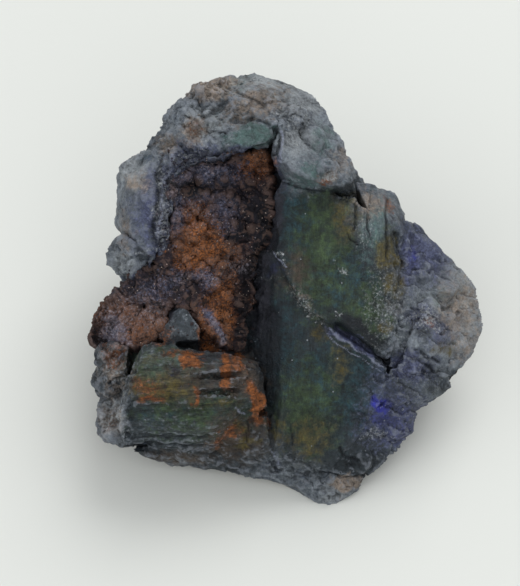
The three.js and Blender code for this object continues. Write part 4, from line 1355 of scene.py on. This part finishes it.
@dataclass(frozen=True)
class LooseGrains:
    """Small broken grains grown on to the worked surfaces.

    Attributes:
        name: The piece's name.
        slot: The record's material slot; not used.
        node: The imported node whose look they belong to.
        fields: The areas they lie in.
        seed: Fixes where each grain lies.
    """

    name: str
    slot: str
    node: str
    fields: tuple[GrainField, ...]
    seed: int

    def make(self, hosts: list[bpy.types.Object]) -> bpy.types.Object:
        """Strews the grains over the host pieces.

        Args:
            hosts: The worked pieces that the grains sit on.

        Returns:
            One object with every grain.
        """
        rng = np.random.default_rng(self.seed)
        sides = [Surface.of(host.data) for host in hosts]
        ground = Surface(
            np.vstack([side.points for side in sides]), np.vstack([side.normals for side in sides])
        )
        under = {
            stain: np.concatenate([self.carried(host.data, stain.value) for host in hosts])
            for stain in Stain
        }
        corners, faces = self.template()
        strewn = [self.strew(spread, ground, under, corners, rng) for spread in self.fields]
        grown = np.concatenate([places for places, _ in strewn])
        starts = (np.arange(len(grown)) * len(corners))[:, None, None]
        mesh = bpy.data.meshes.new(self.name)
        mesh.from_pydata(
            grown.reshape(-1, 3).tolist(), [], (faces[None] + starts).reshape(-1, 3).tolist()
        )
        for name in strewn[0][1]:
            values = np.concatenate([stains[name] for _, stains in strewn])
            carry(mesh, name, np.clip(values, 0.0, 1.0))
        grains = place_object(self.name, mesh)
        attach(grains, "root")
        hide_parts(self.node)
        return grains

    @staticmethod
    def strew(
        spread: GrainField, ground: Surface, under: dict[Stain, np.ndarray], corners: np.ndarray,
        rng: np.random.Generator,
    ) -> tuple[np.ndarray, dict[str, np.ndarray]]:
        """Places the grains of one area.

        Args:
            spread: The area.
            ground: The surface that they sit on.
            under: What each vertex of that surface carries of each stain.
            corners: The corners of one round grain.
            rng: Where the random numbers come from.

        Returns:
            The corners of every grain in metres, and the stains that each corner carries.
        """
        weight = combine(spread.area, *ground.face[:, :2].T)
        weight *= smoothstep(-0.1, 0.3, ground.facing[:, 2])
        count = spread.count // 1
        chosen = rng.choice(len(weight), count, p=weight / weight.sum())
        radius = (spread.smallest + (spread.largest - spread.smallest) * rng.random(count) ** 2.0) * MM
        sunk = (radius * rng.uniform(-0.5, 0.2, count))[:, None]
        places = ground.points[chosen] + ground.normals[chosen] * sunk
        kept = places[:, 2] > radius
        count, places, radius, chosen = kept.sum(), places[kept], radius[kept], chosen[kept]
        sizes = rng.uniform(0.45, 1.4, (count, 1, 3)) * rng.uniform(0.55, 1.3, (count, len(corners), 1))
        grown = places[:, None, :] + corners[None] * sizes * radius[:, None, None]
        tint = np.repeat(rng.random(count), len(corners))
        own = dict(spread.stains)
        stains = {}
        for stain in Stain:
            below = np.repeat(under[stain][chosen], len(corners))
            stains[stain.value] = np.maximum(below, own.get(stain, 0.0) * (0.4 + 0.9 * tint))
        # On grains the edge and hollow channels only give each grain a random lighter or darker tone.
        stains[ShadeAndWear.EDGE.value] = 1.2 * np.maximum(0.0, tint - 0.6)
        stains[ShadeAndWear.HOLLOW_SHADE.value] = 1.6 * np.maximum(0.0, 0.45 - tint)
        return grown, stains

    @staticmethod
    def carried(mesh: bpy.types.Mesh, name: str) -> np.ndarray:
        """Reads what a mesh carries under a name.

        Args:
            mesh: A worked mesh.
            name: The stain's name.

        Returns:
            One value for each vertex, 0 where the mesh carries none.
        """
        if name not in mesh.attributes:
            return np.zeros(len(mesh.vertices), np.float32)
        return read_values(mesh.attributes[name].data, "value")

    @staticmethod
    def template() -> tuple[np.ndarray, np.ndarray]:
        """Makes one round grain.

        Returns:
            Its corners round its middle, and the numbers of the corners of each face.
        """
        shape = bmesh.new()
        bmesh.ops.create_icosphere(shape, subdivisions=1, radius=1.0)
        corners = np.array([vertex.co[:] for vertex in shape.verts])
        faces = np.array([[vertex.index for vertex in face.verts] for face in shape.faces])
        shape.free()
        return corners, faces


RUST_GRAINS = LooseGrains(
    name="limonite_grains", slot="limonite", node="limonite_matrix", seed=71,
    fields=(
        GrainField(spots((-15, 7, 6, 6), (-11, -3, 5, 6), (-25, -5, 6, 3, -12)), 3400, 0.07, 0.27),
        # grains beside the plates' wall, darkened with painted shade
        GrainField(
            spots((-4.2, 17, 1.4, 4), (-5, 8, 1.4, 7, -8), (-7.4, -3, 1.2, 7, 3)),
            900, 0.1, 0.4, ((Stain.DARK, 0.4), (Stain.BROWN, 0.4)),
        ),
        # violet grains with some painted shade under the cap and along the ridge
        GrainField(
            spots((-12, 19.6, 8, 2.4), (-19.6, 13, 2, 7), (-20, 2, 5, 2.4)),
            2500, 0.08, 0.34, ((Stain.VIOLET, 0.8), (Stain.DARK, 0.3)),
        ),
        GrainField(spots((-8, 8, 3.4, 8), (-16, 1.5, 6, 2)), 600, 0.06, 0.2, ((Stain.PALE, 0.7),)),
        GrainField(spots((-5.2, 19.4, 2.4, 1.8)), 400, 0.08, 0.26, ((Stain.RUST, 1),)),
        GrainField(
            spots((-18, 8.4, 2.4, 3), (-14, 12, 2, 2.6), (-13, -5.6, 1.6, 2.4)),
            900, 0.07, 0.24, ((Stain.RUST, 0.9), (Stain.TAN, 0.4)),
        ),
        GrainField(
            spots(
                (-10.3, -12.6, 0.9, 3), (-5.6, -16.6, 1, 3.4, 25), (-15.4, -11.2, 2, 1.4),
                (-12, -9, 3, 1), (-20.5, -7.5, 3, 1.4, 25), (-7, -12.6, 2, 1.6),
            ),
            420, 0.06, 0.17, ((Stain.RUST, 0.35),),
        ),
    ),
)

PALE_GRAINS = LooseGrains(
    name="azurite_grains", slot="azurite", node="azurite_crystals", seed=72,
    fields=(
        GrainField(spots((-12, 28, 9, 6), (-18, 23, 5, 3), (-28, -13, 3, 7)), 900, 0.08, 0.34),
        GrainField(
            spots((-13, 32.5, 4, 2), (-15.5, 25.5, 2, 3)),
            300, 0.1, 0.4, ((Stain.TAN, 0.55), (Stain.DUST_AND_SHEEN, 0.8)),
        ),
        GrainField(
            spots(
                (-2, 27, 14, 9), (-24, 12, 6, 14), (25, -2, 7, 12, -20), (18, -20, 7, 9, 40),
                (3, -31, 10, 4, -15), (-28, -17, 4, 9), (-15, -27, 12, 2), (-16, -14, 10, 8),
            ),
            1500, 0.05, 0.18,
        ),
        # grains in the dark notch, darkened with painted shade
        GrainField(
            spots((9.4, 15, 1.2, 0.9, -20), (-13.5, -13.6, 2.2, 0.5), (-11.5, -16.3, 3, 0.5)),
            260, 0.2, 0.5, ((Stain.TEAL, 0.6), (Stain.DARK, 0.3)),
        ),
        GrainField(
            spots((1, 26, 2.4, 2.4), (6, 18.6, 1.2, 1.2), (2.8, -2.8, 3.4, 0.8, -48)),
            420, 0.07, 0.26, ((Stain.PALE, 0.8),),
        ),
        GrainField(
            spots((22, -4.6, 4, 2.6), (19, -12.4, 3.4, 2), (19, -20, 5, 5, 45)),
            420, 0.08, 0.28, ((Stain.VIOLET, 0.7), (Stain.PALE, 0.4)),
        ),
    ),
)


class NodeSheet:
    """A node tree being filled in."""

    def __init__(self, tree: bpy.types.NodeTree) -> None:
        """Starts with an empty tree.

        Args:
            tree: The tree of a material or of a group.
        """
        self.tree = tree
        tree.nodes.clear()

    def add(self, kind: str, settings: dict | None = None, **inputs: object) -> bpy.types.Node:
        """Adds a node.

        Args:
            kind: The node's type.
            settings: Values for the node's own options.
            inputs: Values or outputs for its sockets, with _ for a space in a socket's name.

        Returns:
            The new node.
        """
        node = self.tree.nodes.new(kind)
        for option, value in (settings or {}).items():
            setattr(node, option, value)
        for name, value in inputs.items():
            self.feed(node.inputs[name.replace("_", " ")], value)
        return node

    def feed(self, socket: bpy.types.NodeSocket, value: object) -> None:
        """Gives a socket a value, or links an output to it.

        Args:
            socket: The input to feed.
            value: The value, or the output to link.
        """
        if isinstance(value, bpy.types.NodeSocket):
            self.tree.links.new(value, socket)
        else:
            socket.default_value = value

    def noise(
        self, where: object, scale: object, detail: float, roughness: float
    ) -> bpy.types.NodeSocket:
        """Adds a noise texture.

        Args:
            where: The places that it reads.
            scale: How fine it is.
            detail: How many finer layers it has.
            roughness: How strong the finer layers are.

        Returns:
            Its value.
        """
        return self.add(
            "ShaderNodeTexNoise", Vector=where, Scale=scale, Detail=detail, Roughness=roughness
        ).outputs["Fac"]

    def blend(
        self, share: object, first: object, second: object, mode: str = "MIX"
    ) -> bpy.types.NodeSocket:
        """Mixes two colours.

        Args:
            share: How much of the second there is.
            first: The colour underneath.
            second: The colour on top.
            mode: How they are mixed.

        Returns:
            The mixed colour.
        """
        node = self.add("ShaderNodeMix", {"data_type": "RGBA", "blend_type": mode})
        for index, value in ((0, share), (6, first), (7, second)):
            self.feed(node.inputs[index], value)
        return node.outputs[2]

    def sum(
        self, operation: str, first: object, second: object, clamp: bool = False
    ) -> bpy.types.NodeSocket:
        """Works out a sum of two values.

        Args:
            operation: What is done with them.
            first: The first value.
            second: The second value.
            clamp: Whether the result is kept from 0 to 1.

        Returns:
            The result.
        """
        node = self.add("ShaderNodeMath", {"operation": operation, "use_clamp": clamp})
        self.feed(node.inputs[0], first)
        self.feed(node.inputs[1], second)
        return node.outputs[0]


class EffectGroup:
    """A shader node group with named inputs and outputs."""

    title = ""
    takes: tuple[tuple[str, float], ...] = ()
    gives: tuple[str, ...] = ()

    def __init__(self) -> None:
        """Builds the group's tree."""
        self.tree = bpy.data.node_groups.new(self.title, "ShaderNodeTree")
        self.sheet = NodeSheet(self.tree)
        face = self.tree.interface
        face.new_socket("Vector", in_out="INPUT", socket_type="NodeSocketVector")
        for name, value in self.takes:
            socket = face.new_socket(name, in_out="INPUT", socket_type="NodeSocketFloat")
            socket.default_value = value
        for name in self.gives:
            face.new_socket(name, in_out="OUTPUT", socket_type="NodeSocketFloat")
        self.inside = self.sheet.add("NodeGroupInput").outputs
        self.outside = self.sheet.add("NodeGroupOutput").inputs
        self.fill()

    def fill(self) -> None:
        """Adds the group's own nodes."""
        raise NotImplementedError

    def use(self, sheet: NodeSheet, **inputs: object) -> bpy.types.Node:
        """Places the group in a material's tree, with its own values."""
        return sheet.add("ShaderNodeGroup", {"node_tree": self.tree}, **inputs)


class RaggedMask(EffectGroup):
    """Breaks the soft edge of a mask into grains and shreds."""

    title = "Ragged mask"
    takes = (("Mask", 0.0), ("Fineness", 1300.0), ("Raggedness", 0.8), ("Sharpness", 0.42))
    gives = ("Mask",)

    def fill(self) -> None:
        """Shifts the mask by noise and sharpens it round its middle."""
        sheet, inside = self.sheet, self.inside
        grain = sheet.noise(inside["Vector"], inside["Fineness"], 5.0, 0.7)
        centred = sheet.sum("SUBTRACT", grain, 0.5)
        shifted = sheet.sum("ADD", inside["Mask"], sheet.sum("MULTIPLY", centred, inside["Raggedness"]))
        ramp = sheet.add(
            "ShaderNodeMapRange", {"interpolation_type": "SMOOTHSTEP"}, Value=shifted,
            From_Min=sheet.sum("SUBTRACT", 0.5, inside["Sharpness"]),
            From_Max=sheet.sum("ADD", 0.5, inside["Sharpness"]),
        )
        present = sheet.sum("MULTIPLY", inside["Mask"], 8.0, True)
        sheet.feed(self.outside["Mask"], sheet.sum("MULTIPLY", ramp.outputs["Result"], present))


class Mottle(EffectGroup):
    """Light and dark mottling at two sizes, with tiny specks of painted glint."""

    title = "Mottle"
    takes = (
        ("Fineness", 900.0), ("Depth", 0.5), ("Cloud", 0.5), ("Speck Fineness", 3000.0),
        ("Speck Share", 0.03),
    )
    gives = ("Shade", "Speck", "Relief")

    def fill(self) -> None:
        """Adds broad noise to fine noise, and picks a few cells as specks of painted glint."""
        sheet, inside = self.sheet, self.inside
        broad = sheet.noise(inside["Vector"], inside["Fineness"], 5.0, 0.75)
        fine_scale = sheet.sum("MULTIPLY", inside["Fineness"], 3.6)
        both = sheet.sum("ADD", broad, sheet.noise(inside["Vector"], fine_scale, 3.0, 0.7))
        centred = sheet.sum("SUBTRACT", both, 1.0)
        shade = sheet.sum("ADD", 1.0, sheet.sum("MULTIPLY", centred, inside["Depth"]))
        cloud = sheet.sum("SUBTRACT", sheet.noise(inside["Vector"], 330.0, 3.0, 0.6), 0.5)
        cloud = sheet.sum("MULTIPLY", sheet.sum("MULTIPLY", cloud, inside["Cloud"]), 2.0)
        shade = sheet.sum("ADD", shade, cloud)
        sheet.feed(self.outside["Shade"], sheet.sum("MAXIMUM", shade, 0.15))
        # A few small cells become painted glints.
        cell = sheet.add("ShaderNodeTexVoronoi", Vector=inside["Vector"], Scale=inside["Speck Fineness"])
        pick = sheet.add("ShaderNodeSeparateColor", Color=cell.outputs["Color"])
        chosen = sheet.sum("LESS_THAN", pick.outputs[0], inside["Speck Share"])
        close = sheet.sum("LESS_THAN", cell.outputs["Distance"], 0.4)
        sheet.feed(self.outside["Speck"], sheet.sum("MULTIPLY", chosen, close))
        sheet.feed(self.outside["Relief"], both)


class Fibres(EffectGroup):
    """Fine light and dark streaks that run one way over the broad face."""

    title = "Fibres"
    takes = (("Turn", 0.0), ("Depth", 1.0))
    gives = ("Shade",)

    def fill(self) -> None:
        """Squeezes noise across the streaks and stretches it along them."""
        sheet, inside = self.sheet, self.inside
        lay = sheet.add(
            "ShaderNodeVectorRotate", {"rotation_type": "X_AXIS"}, Vector=inside["Vector"],
            Angle=math.radians(FACE.lean - 90.0),
        )
        turned = sheet.add(
            "ShaderNodeVectorRotate", {"rotation_type": "Z_AXIS"}, Vector=lay.outputs[0],
            Angle=inside["Turn"],
        )
        layers = []
        for along, across in ((160.0, 1500.0), (450.0, 4200.0)):
            scaled = sheet.add("ShaderNodeVectorMath", {"operation": "MULTIPLY"})
            sheet.feed(scaled.inputs[0], turned.outputs[0])
            sheet.feed(scaled.inputs[1], (along, across, across))
            layers.append(sheet.noise(scaled.outputs[0], 1.0, 3.0, 0.65))
        centred = sheet.sum("SUBTRACT", sheet.sum("ADD", *layers), 1.0)
        shade = sheet.sum("ADD", 1.0, sheet.sum("MULTIPLY", centred, inside["Depth"]))
        sheet.feed(self.outside["Shade"], sheet.sum("MAXIMUM", shade, 0.2))


@dataclass(frozen=True)
class Effects:
    """The shared effects, each built once.

    Attributes:
        ragged: Breaks up a mask's edge.
        mottle: Mottles, and paints specks of glint.
        fibres: Streaks the combed and ribbed faces.
    """

    ragged: RaggedMask = field(default_factory=RaggedMask)
    mottle: Mottle = field(default_factory=Mottle)
    fibres: Fibres = field(default_factory=Fibres)


@dataclass(frozen=True)
class Tint:
    """A colour laid on where a stain lies.

    Attributes:
        stain: The stain.
        colour: Its colour on a screen, as six digits.
        raggedness: How ragged its border is.
        fineness: How fine its shreds are.
        share: The share of its area that it covers.
    """

    stain: Stain
    colour: str
    raggedness: float
    fineness: float
    share: float = 1.0


@dataclass(frozen=True)
class StoneFinish:
    """A stone's finish: a ground colour, the tints laid on it, its painted shade and lighter edges, and
    its gloss.

    Attributes:
        title: The material's name.
        ground: The colour where nothing is laid on.
        tints: What is laid on, in order.
        shade_and_wear: The colour of the painted shade in hollows and of the lighter edges and ridges,
            and how strong each is.
        roughness: From the most polished places to the roughest.
        shine: How strongly the surface mirrors.
        mottle: How deep the light and dark mottling is.
        cloud: How deep the broad clouds of light and dark are.
        glint_speck: The colour of the specks of painted glint, their fineness and their share.
        streaks: Which way the streaks of a combed or ribbed face run, in degrees, and how
            deep they are.
        relief: How deep the finest bumps are, in metres.
        fineness: How fine the mottling is.
    """

    title: str
    ground: str
    tints: tuple[Tint, ...]
    shade_and_wear: tuple[tuple[ShadeAndWear, str, float], ...]
    roughness: tuple[float, float]
    shine: float
    mottle: float
    cloud: float
    glint_speck: tuple[str, float, float]
    streaks: tuple[tuple[Relief, float, float], ...] = ()
    relief: float = 0.0003
    fineness: float = 900.0

    def build(self, effects: Effects) -> bpy.types.Material:
        """Builds the material.

        Args:
            effects: The shared effects.

        Returns:
            The finished material.
        """
        material = bpy.data.materials.new(self.title)
        material.use_nodes = True
        sheet = NodeSheet(material.node_tree)
        where = sheet.add("ShaderNodeTexCoord").outputs["Object"]
        marks = effects.mottle.use(
            sheet, Vector=where, Fineness=self.fineness, Depth=self.mottle, Cloud=self.cloud,
            Speck_Fineness=self.glint_speck[1], Speck_Share=self.glint_speck[2],
        )
        colour = self.stained(sheet, where, effects)
        shade = self.shaded(sheet, where, effects, marks.outputs["Shade"])
        colour = sheet.blend(1.0, colour, shade, "MULTIPLY")
        colour = self.hollow_shade_and_edges(sheet, where, effects, colour)
        # Paints tiny glints as pale specks.
        colour = sheet.blend(marks.outputs["Speck"], colour, tone(self.glint_speck[0]))
        rough = sheet.add(
            "ShaderNodeMapRange", Value=marks.outputs["Relief"], From_Min=0.7, From_Max=1.3,
            To_Min=self.roughness[0], To_Max=self.roughness[1],
        )
        bump = sheet.add(
            "ShaderNodeBump", Height=marks.outputs["Relief"], Strength=1.0, Distance=self.relief
        )
        shader = sheet.add(
            "ShaderNodeBsdfPrincipled", Specular_IOR_Level=self.shine, Base_Color=colour,
            Roughness=rough.outputs["Result"], Normal=bump.outputs["Normal"],
        )
        sheet.add("ShaderNodeOutputMaterial", Surface=shader.outputs["BSDF"])
        return material

    def stained(
        self, sheet: NodeSheet, where: bpy.types.NodeSocket, effects: Effects
    ) -> bpy.types.NodeSocket:
        """Lays each tint on the ground colour.

        Args:
            sheet: The material's tree.
            where: The places on the piece.
            effects: The shared effects.

        Returns:
            The colour so far.
        """
        colour: object = tone(self.ground)
        for tint in self.tints:
            mask = sheet.sum("MULTIPLY", self.read(sheet, tint.stain.value), tint.share)
            broken = effects.ragged.use(
                sheet, Vector=where, Mask=mask, Raggedness=tint.raggedness, Fineness=tint.fineness
            )
            colour = sheet.blend(broken.outputs["Mask"], colour, tone(tint.colour))
        return colour

    def shaded(
        self, sheet: NodeSheet, where: bpy.types.NodeSocket, effects: Effects,
        shade: bpy.types.NodeSocket,
    ) -> bpy.types.NodeSocket:
        """Adds the streaks of combed and ribbed faces to the mottling.

        Args:
            sheet: The material's tree.
            where: The places on the piece.
            effects: The shared effects.
            shade: The mottling.

        Returns:
            A grey to multiply the colour by.
        """
        for relief, turn, depth in self.streaks:
            streaked = effects.fibres.use(
                sheet, Vector=where, Turn=math.radians(turn),
                Depth=sheet.sum("MULTIPLY", self.read(sheet, relief.value), depth),
            )
            shade = sheet.sum("MULTIPLY", shade, streaked.outputs["Shade"])
        return sheet.add("ShaderNodeCombineColor", Red=shade, Green=shade, Blue=shade).outputs[0]

    def hollow_shade_and_edges(
        self, sheet: NodeSheet, where: bpy.types.NodeSocket, effects: Effects,
        colour: bpy.types.NodeSocket,
    ) -> bpy.types.NodeSocket:
        """Paints shade in the hollows, and lightens the edges and the ridges, partly as rubbed edges and
        partly as painted highlight.

        Args:
            sheet: The material's tree.
            where: The places on the piece.
            effects: The shared effects.
            colour: The colour so far.

        Returns:
            The colour with painted shade in its hollows and lighter edges.
        """
        for shade_and_wear, code, strength in self.shade_and_wear:
            mask = sheet.sum("MULTIPLY", self.read(sheet, shade_and_wear.value), 0.8)
            broken = effects.ragged.use(
                sheet, Vector=where, Mask=mask, Raggedness=2.2, Fineness=1900.0
            )
            share = sheet.sum("MULTIPLY", broken.outputs["Mask"], strength)
            colour = sheet.blend(share, colour, tone(code))
        return colour

    @staticmethod
    def read(sheet: NodeSheet, name: str) -> bpy.types.NodeSocket:
        """The value that the piece's mesh carries under a name."""
        return sheet.add("ShaderNodeAttribute", {"attribute_name": name}).outputs["Fac"]


CRYSTAL_FINISH = StoneFinish(
    title="Weathered azurite",
    ground="2C3338",
    tints=(
        Tint(Stain.TEAL, "16242A", 1.0, 450.0),
        Tint(Stain.GREEN, "243029", 1.0, 400.0),
        # dust and painted sheen
        Tint(Stain.DUST_AND_SHEEN, "5F666D", 0.9, 500.0),
        Tint(Stain.DUST_AND_SHEEN, "424B58", 2.4, 420.0, 0.45),
        Tint(Stain.DUST_AND_SHEEN, "777E84", 2.6, 1300.0, 0.5),
        # pale crust and painted sheen
        Tint(Stain.FROST_AND_SHEEN, "82878A", 1.6, 900.0, 0.9),
        Tint(Stain.TEAL, "233B42", 2.4, 900.0, 0.5),
        Tint(Stain.GREEN, "3A4B30", 2.4, 700.0, 0.5),
        Tint(Stain.JADE, "4A605E", 1.8, 900.0, 0.8),
        Tint(Stain.VIOLET, "383D54", 1.2, 900.0),
        Tint(Stain.VIOLET, "5C627E", 2.8, 2200.0, 0.45),
        Tint(Stain.BLUE, "2A2E84", 1.0, 1300.0),
        # painted shade
        Tint(Stain.DARK, "13191F", 0.8, 800.0),
        Tint(Stain.BROWN, "40372F", 1.5, 1100.0),
        # plum, mostly painted shade
        Tint(Stain.PLUM_AND_SHADE, "25262E", 1.2, 1300.0),
        Tint(Stain.OCHRE, "4B4322", 2.0, 900.0, 0.8),
        Tint(Stain.TAN, "867B71", 1.9, 1100.0, 0.85),
        Tint(Stain.RUST, "462C1C", 1.1, 1100.0),
        Tint(Stain.RUST, "854E26", 2.4, 1900.0, 0.68),
        Tint(Stain.PALE, "989C9E", 3.0, 2600.0, 0.6),
    ),
    # painted shade in hollows; lighter edges and ridges, partly rubbed and partly painted highlight
    shade_and_wear=((ShadeAndWear.HOLLOW_SHADE, "14181D", 0.55), (ShadeAndWear.EDGE, "8A909A", 0.4), (ShadeAndWear.LINE, "8A90A4", 0.6)),
    roughness=(0.34, 0.58),
    shine=0.28,
    mottle=1.7,
    cloud=0.8,
    glint_speck=("868C92", 2900.0, 0.0025),
    streaks=((Relief.COMBED, -86.0, 1.2), (Relief.RIBBED, -3.0, 1.92)),
)

MATRIX_FINISH = StoneFinish(
    title="Granular limonite",
    ground="32282A",
    tints=(
        Tint(Stain.BROWN, "2C2427", 1.1, 1300.0),
        Tint(Stain.RUST, "3C2A23", 1.2, 900.0),
        Tint(Stain.RUST, "603D27", 2.8, 1700.0, 0.5),
        Tint(Stain.RUST, "94592C", 3.2, 3400.0, 0.4),
        Tint(Stain.TAN, "664C41", 2.4, 1500.0, 0.7),
        Tint(Stain.VIOLET, "3D4052", 1.8, 1300.0, 0.85),
        Tint(Stain.VIOLET, "747890", 3.0, 2900.0, 0.34),
        # plum, mostly painted shade
        Tint(Stain.PLUM_AND_SHADE, "221D24", 1.2, 1300.0),
        # painted shade
        Tint(Stain.DARK, "12131A", 1.0, 1300.0),
        Tint(Stain.PALE, "858088", 2.8, 2300.0, 0.6),
    ),
    # painted shade in hollows; lighter edges, partly rubbed and partly painted sheen
    shade_and_wear=((ShadeAndWear.HOLLOW_SHADE, "0F0C0D", 0.85), (ShadeAndWear.EDGE, "84685A", 0.25)),
    roughness=(0.5, 0.85),
    shine=0.25,
    mottle=2.0,
    cloud=0.7,
    glint_speck=("9C8C84", 3600.0, 0.02),
)


@dataclass(frozen=True)
class SoftLight:
    """A square soft light that points at the stone.

    Attributes:
        name: The light's name.
        place: Where it hangs, in metres.
        size: The length of its side, in metres.
        power: Its power, in watts.
    """

    name: str
    place: tuple[float, float, float]
    size: float
    power: float

    def hang(self) -> None:
        """Hangs the light in the scene."""
        light = bpy.data.lights.new(self.name, "AREA")
        light.size = self.size
        light.energy = self.power
        holder = place_object(self.name, light)
        holder.location = self.place
        holder.rotation_euler = Vector(self.place).to_track_quat("Z", "Y").to_euler()


@dataclass
class Studio:
    """The pale floor, the soft light and the camera.

    Attributes:
        distance: From the camera to the middle of the picture, in metres.
        pixels_per_mm: The photograph's scale at the broad face.
        middle: Where the picture's middle falls on the broad face, in mm.
        picture_height: The photograph's height, in pixels.
        sensor: The camera's film width, in mm.
        floor_size: Half of the floor's side, in metres.
        floor_colour: The floor's colour on a screen, as six digits.
        air_colour: The colour of the light from all round.
        air_strength: How strong that light is.
        lights: The soft lights.
    """

    distance: float = 1.0
    pixels_per_mm: float = 6.25
    middle: tuple[float, float] = (-4.8, -0.48)
    picture_height: float = 586.0
    sensor: float = 36.0
    floor_size: float = 4.0
    floor_colour: str = "D8DAD5"
    air_colour: str = "FAFCFF"
    air_strength: float = 0.58
    lights: tuple[SoftLight, ...] = (
        SoftLight("window_light", (0.4, 0.75, 0.95), 1.0, 10.0),
        SoftLight("room_light", (0.1, -0.9, 0.9), 1.2, 5.0),
        SoftLight("left_light", (-0.95, -0.35, 0.5), 1.0, 2.6),
    )

    def build(self) -> None:
        """Makes the floor, the lights and the camera."""
        bpy.context.scene.view_settings.view_transform = "Standard"
        self.floor()
        self.air()
        for light in self.lights:
            light.hang()
        self.camera()

    def floor(self) -> None:
        """Lays a plain pale floor."""
        mesh = bpy.data.meshes.new("floor")
        with shaping(mesh) as shape:
            bmesh.ops.create_grid(shape, x_segments=1, y_segments=1, size=self.floor_size)
        material = bpy.data.materials.new("Pale floor")
        material.use_nodes = True
        shader = material.node_tree.nodes["Principled BSDF"]
        shader.inputs["Base Color"].default_value = tone(self.floor_colour)
        shader.inputs["Roughness"].default_value = 0.7
        shader.inputs["Specular IOR Level"].default_value = 0.2
        mesh.materials.append(material)
        place_object("floor", mesh)

    def air(self) -> None:
        """Gives even pale light from all round."""
        world = bpy.data.worlds.new("Soft room")
        bpy.context.scene.world = world
        world.use_nodes = True
        background = world.node_tree.nodes["Background"]
        background.inputs["Color"].default_value = tone(self.air_colour)
        background.inputs["Strength"].default_value = self.air_strength

    def camera(self) -> None:
        """Sets up a long lens that looks straight at the broad face."""
        camera = bpy.data.cameras.new("camera")
        camera.sensor_width = self.sensor
        camera.lens = self.pixels_per_mm / MM * self.distance / self.picture_height * self.sensor
        camera.clip_start = 0.05
        holder = place_object("camera", camera)
        holder.location = FACE.place(*self.middle) + FACE.outwards() * self.distance
        holder.rotation_euler = FACE.outwards().to_track_quat("Z", "Y").to_euler()
        bpy.context.scene.camera = holder


def main() -> None:
    """Builds the pieces in order and reports each one."""
    logging.basicConfig(level=logging.INFO, format="%(message)s")
    Studio().build()
    effects = Effects()
    crystals, matrix = AzuriteCrystals().make(), LimoniteMatrix().make()
    grit, chips = RUST_GRAINS.make(matrix + crystals), PALE_GRAINS.make(crystals)
    for finish, pieces in ((CRYSTAL_FINISH, [*crystals, chips]), (MATRIX_FINISH, [*matrix, grit])):
        material = finish.build(effects)
        for piece in pieces:
            piece.data.materials.append(material)
            LOG.info("%s: %d faces", piece.name, len(piece.data.polygons))


if __name__ == "__main__":
    main()
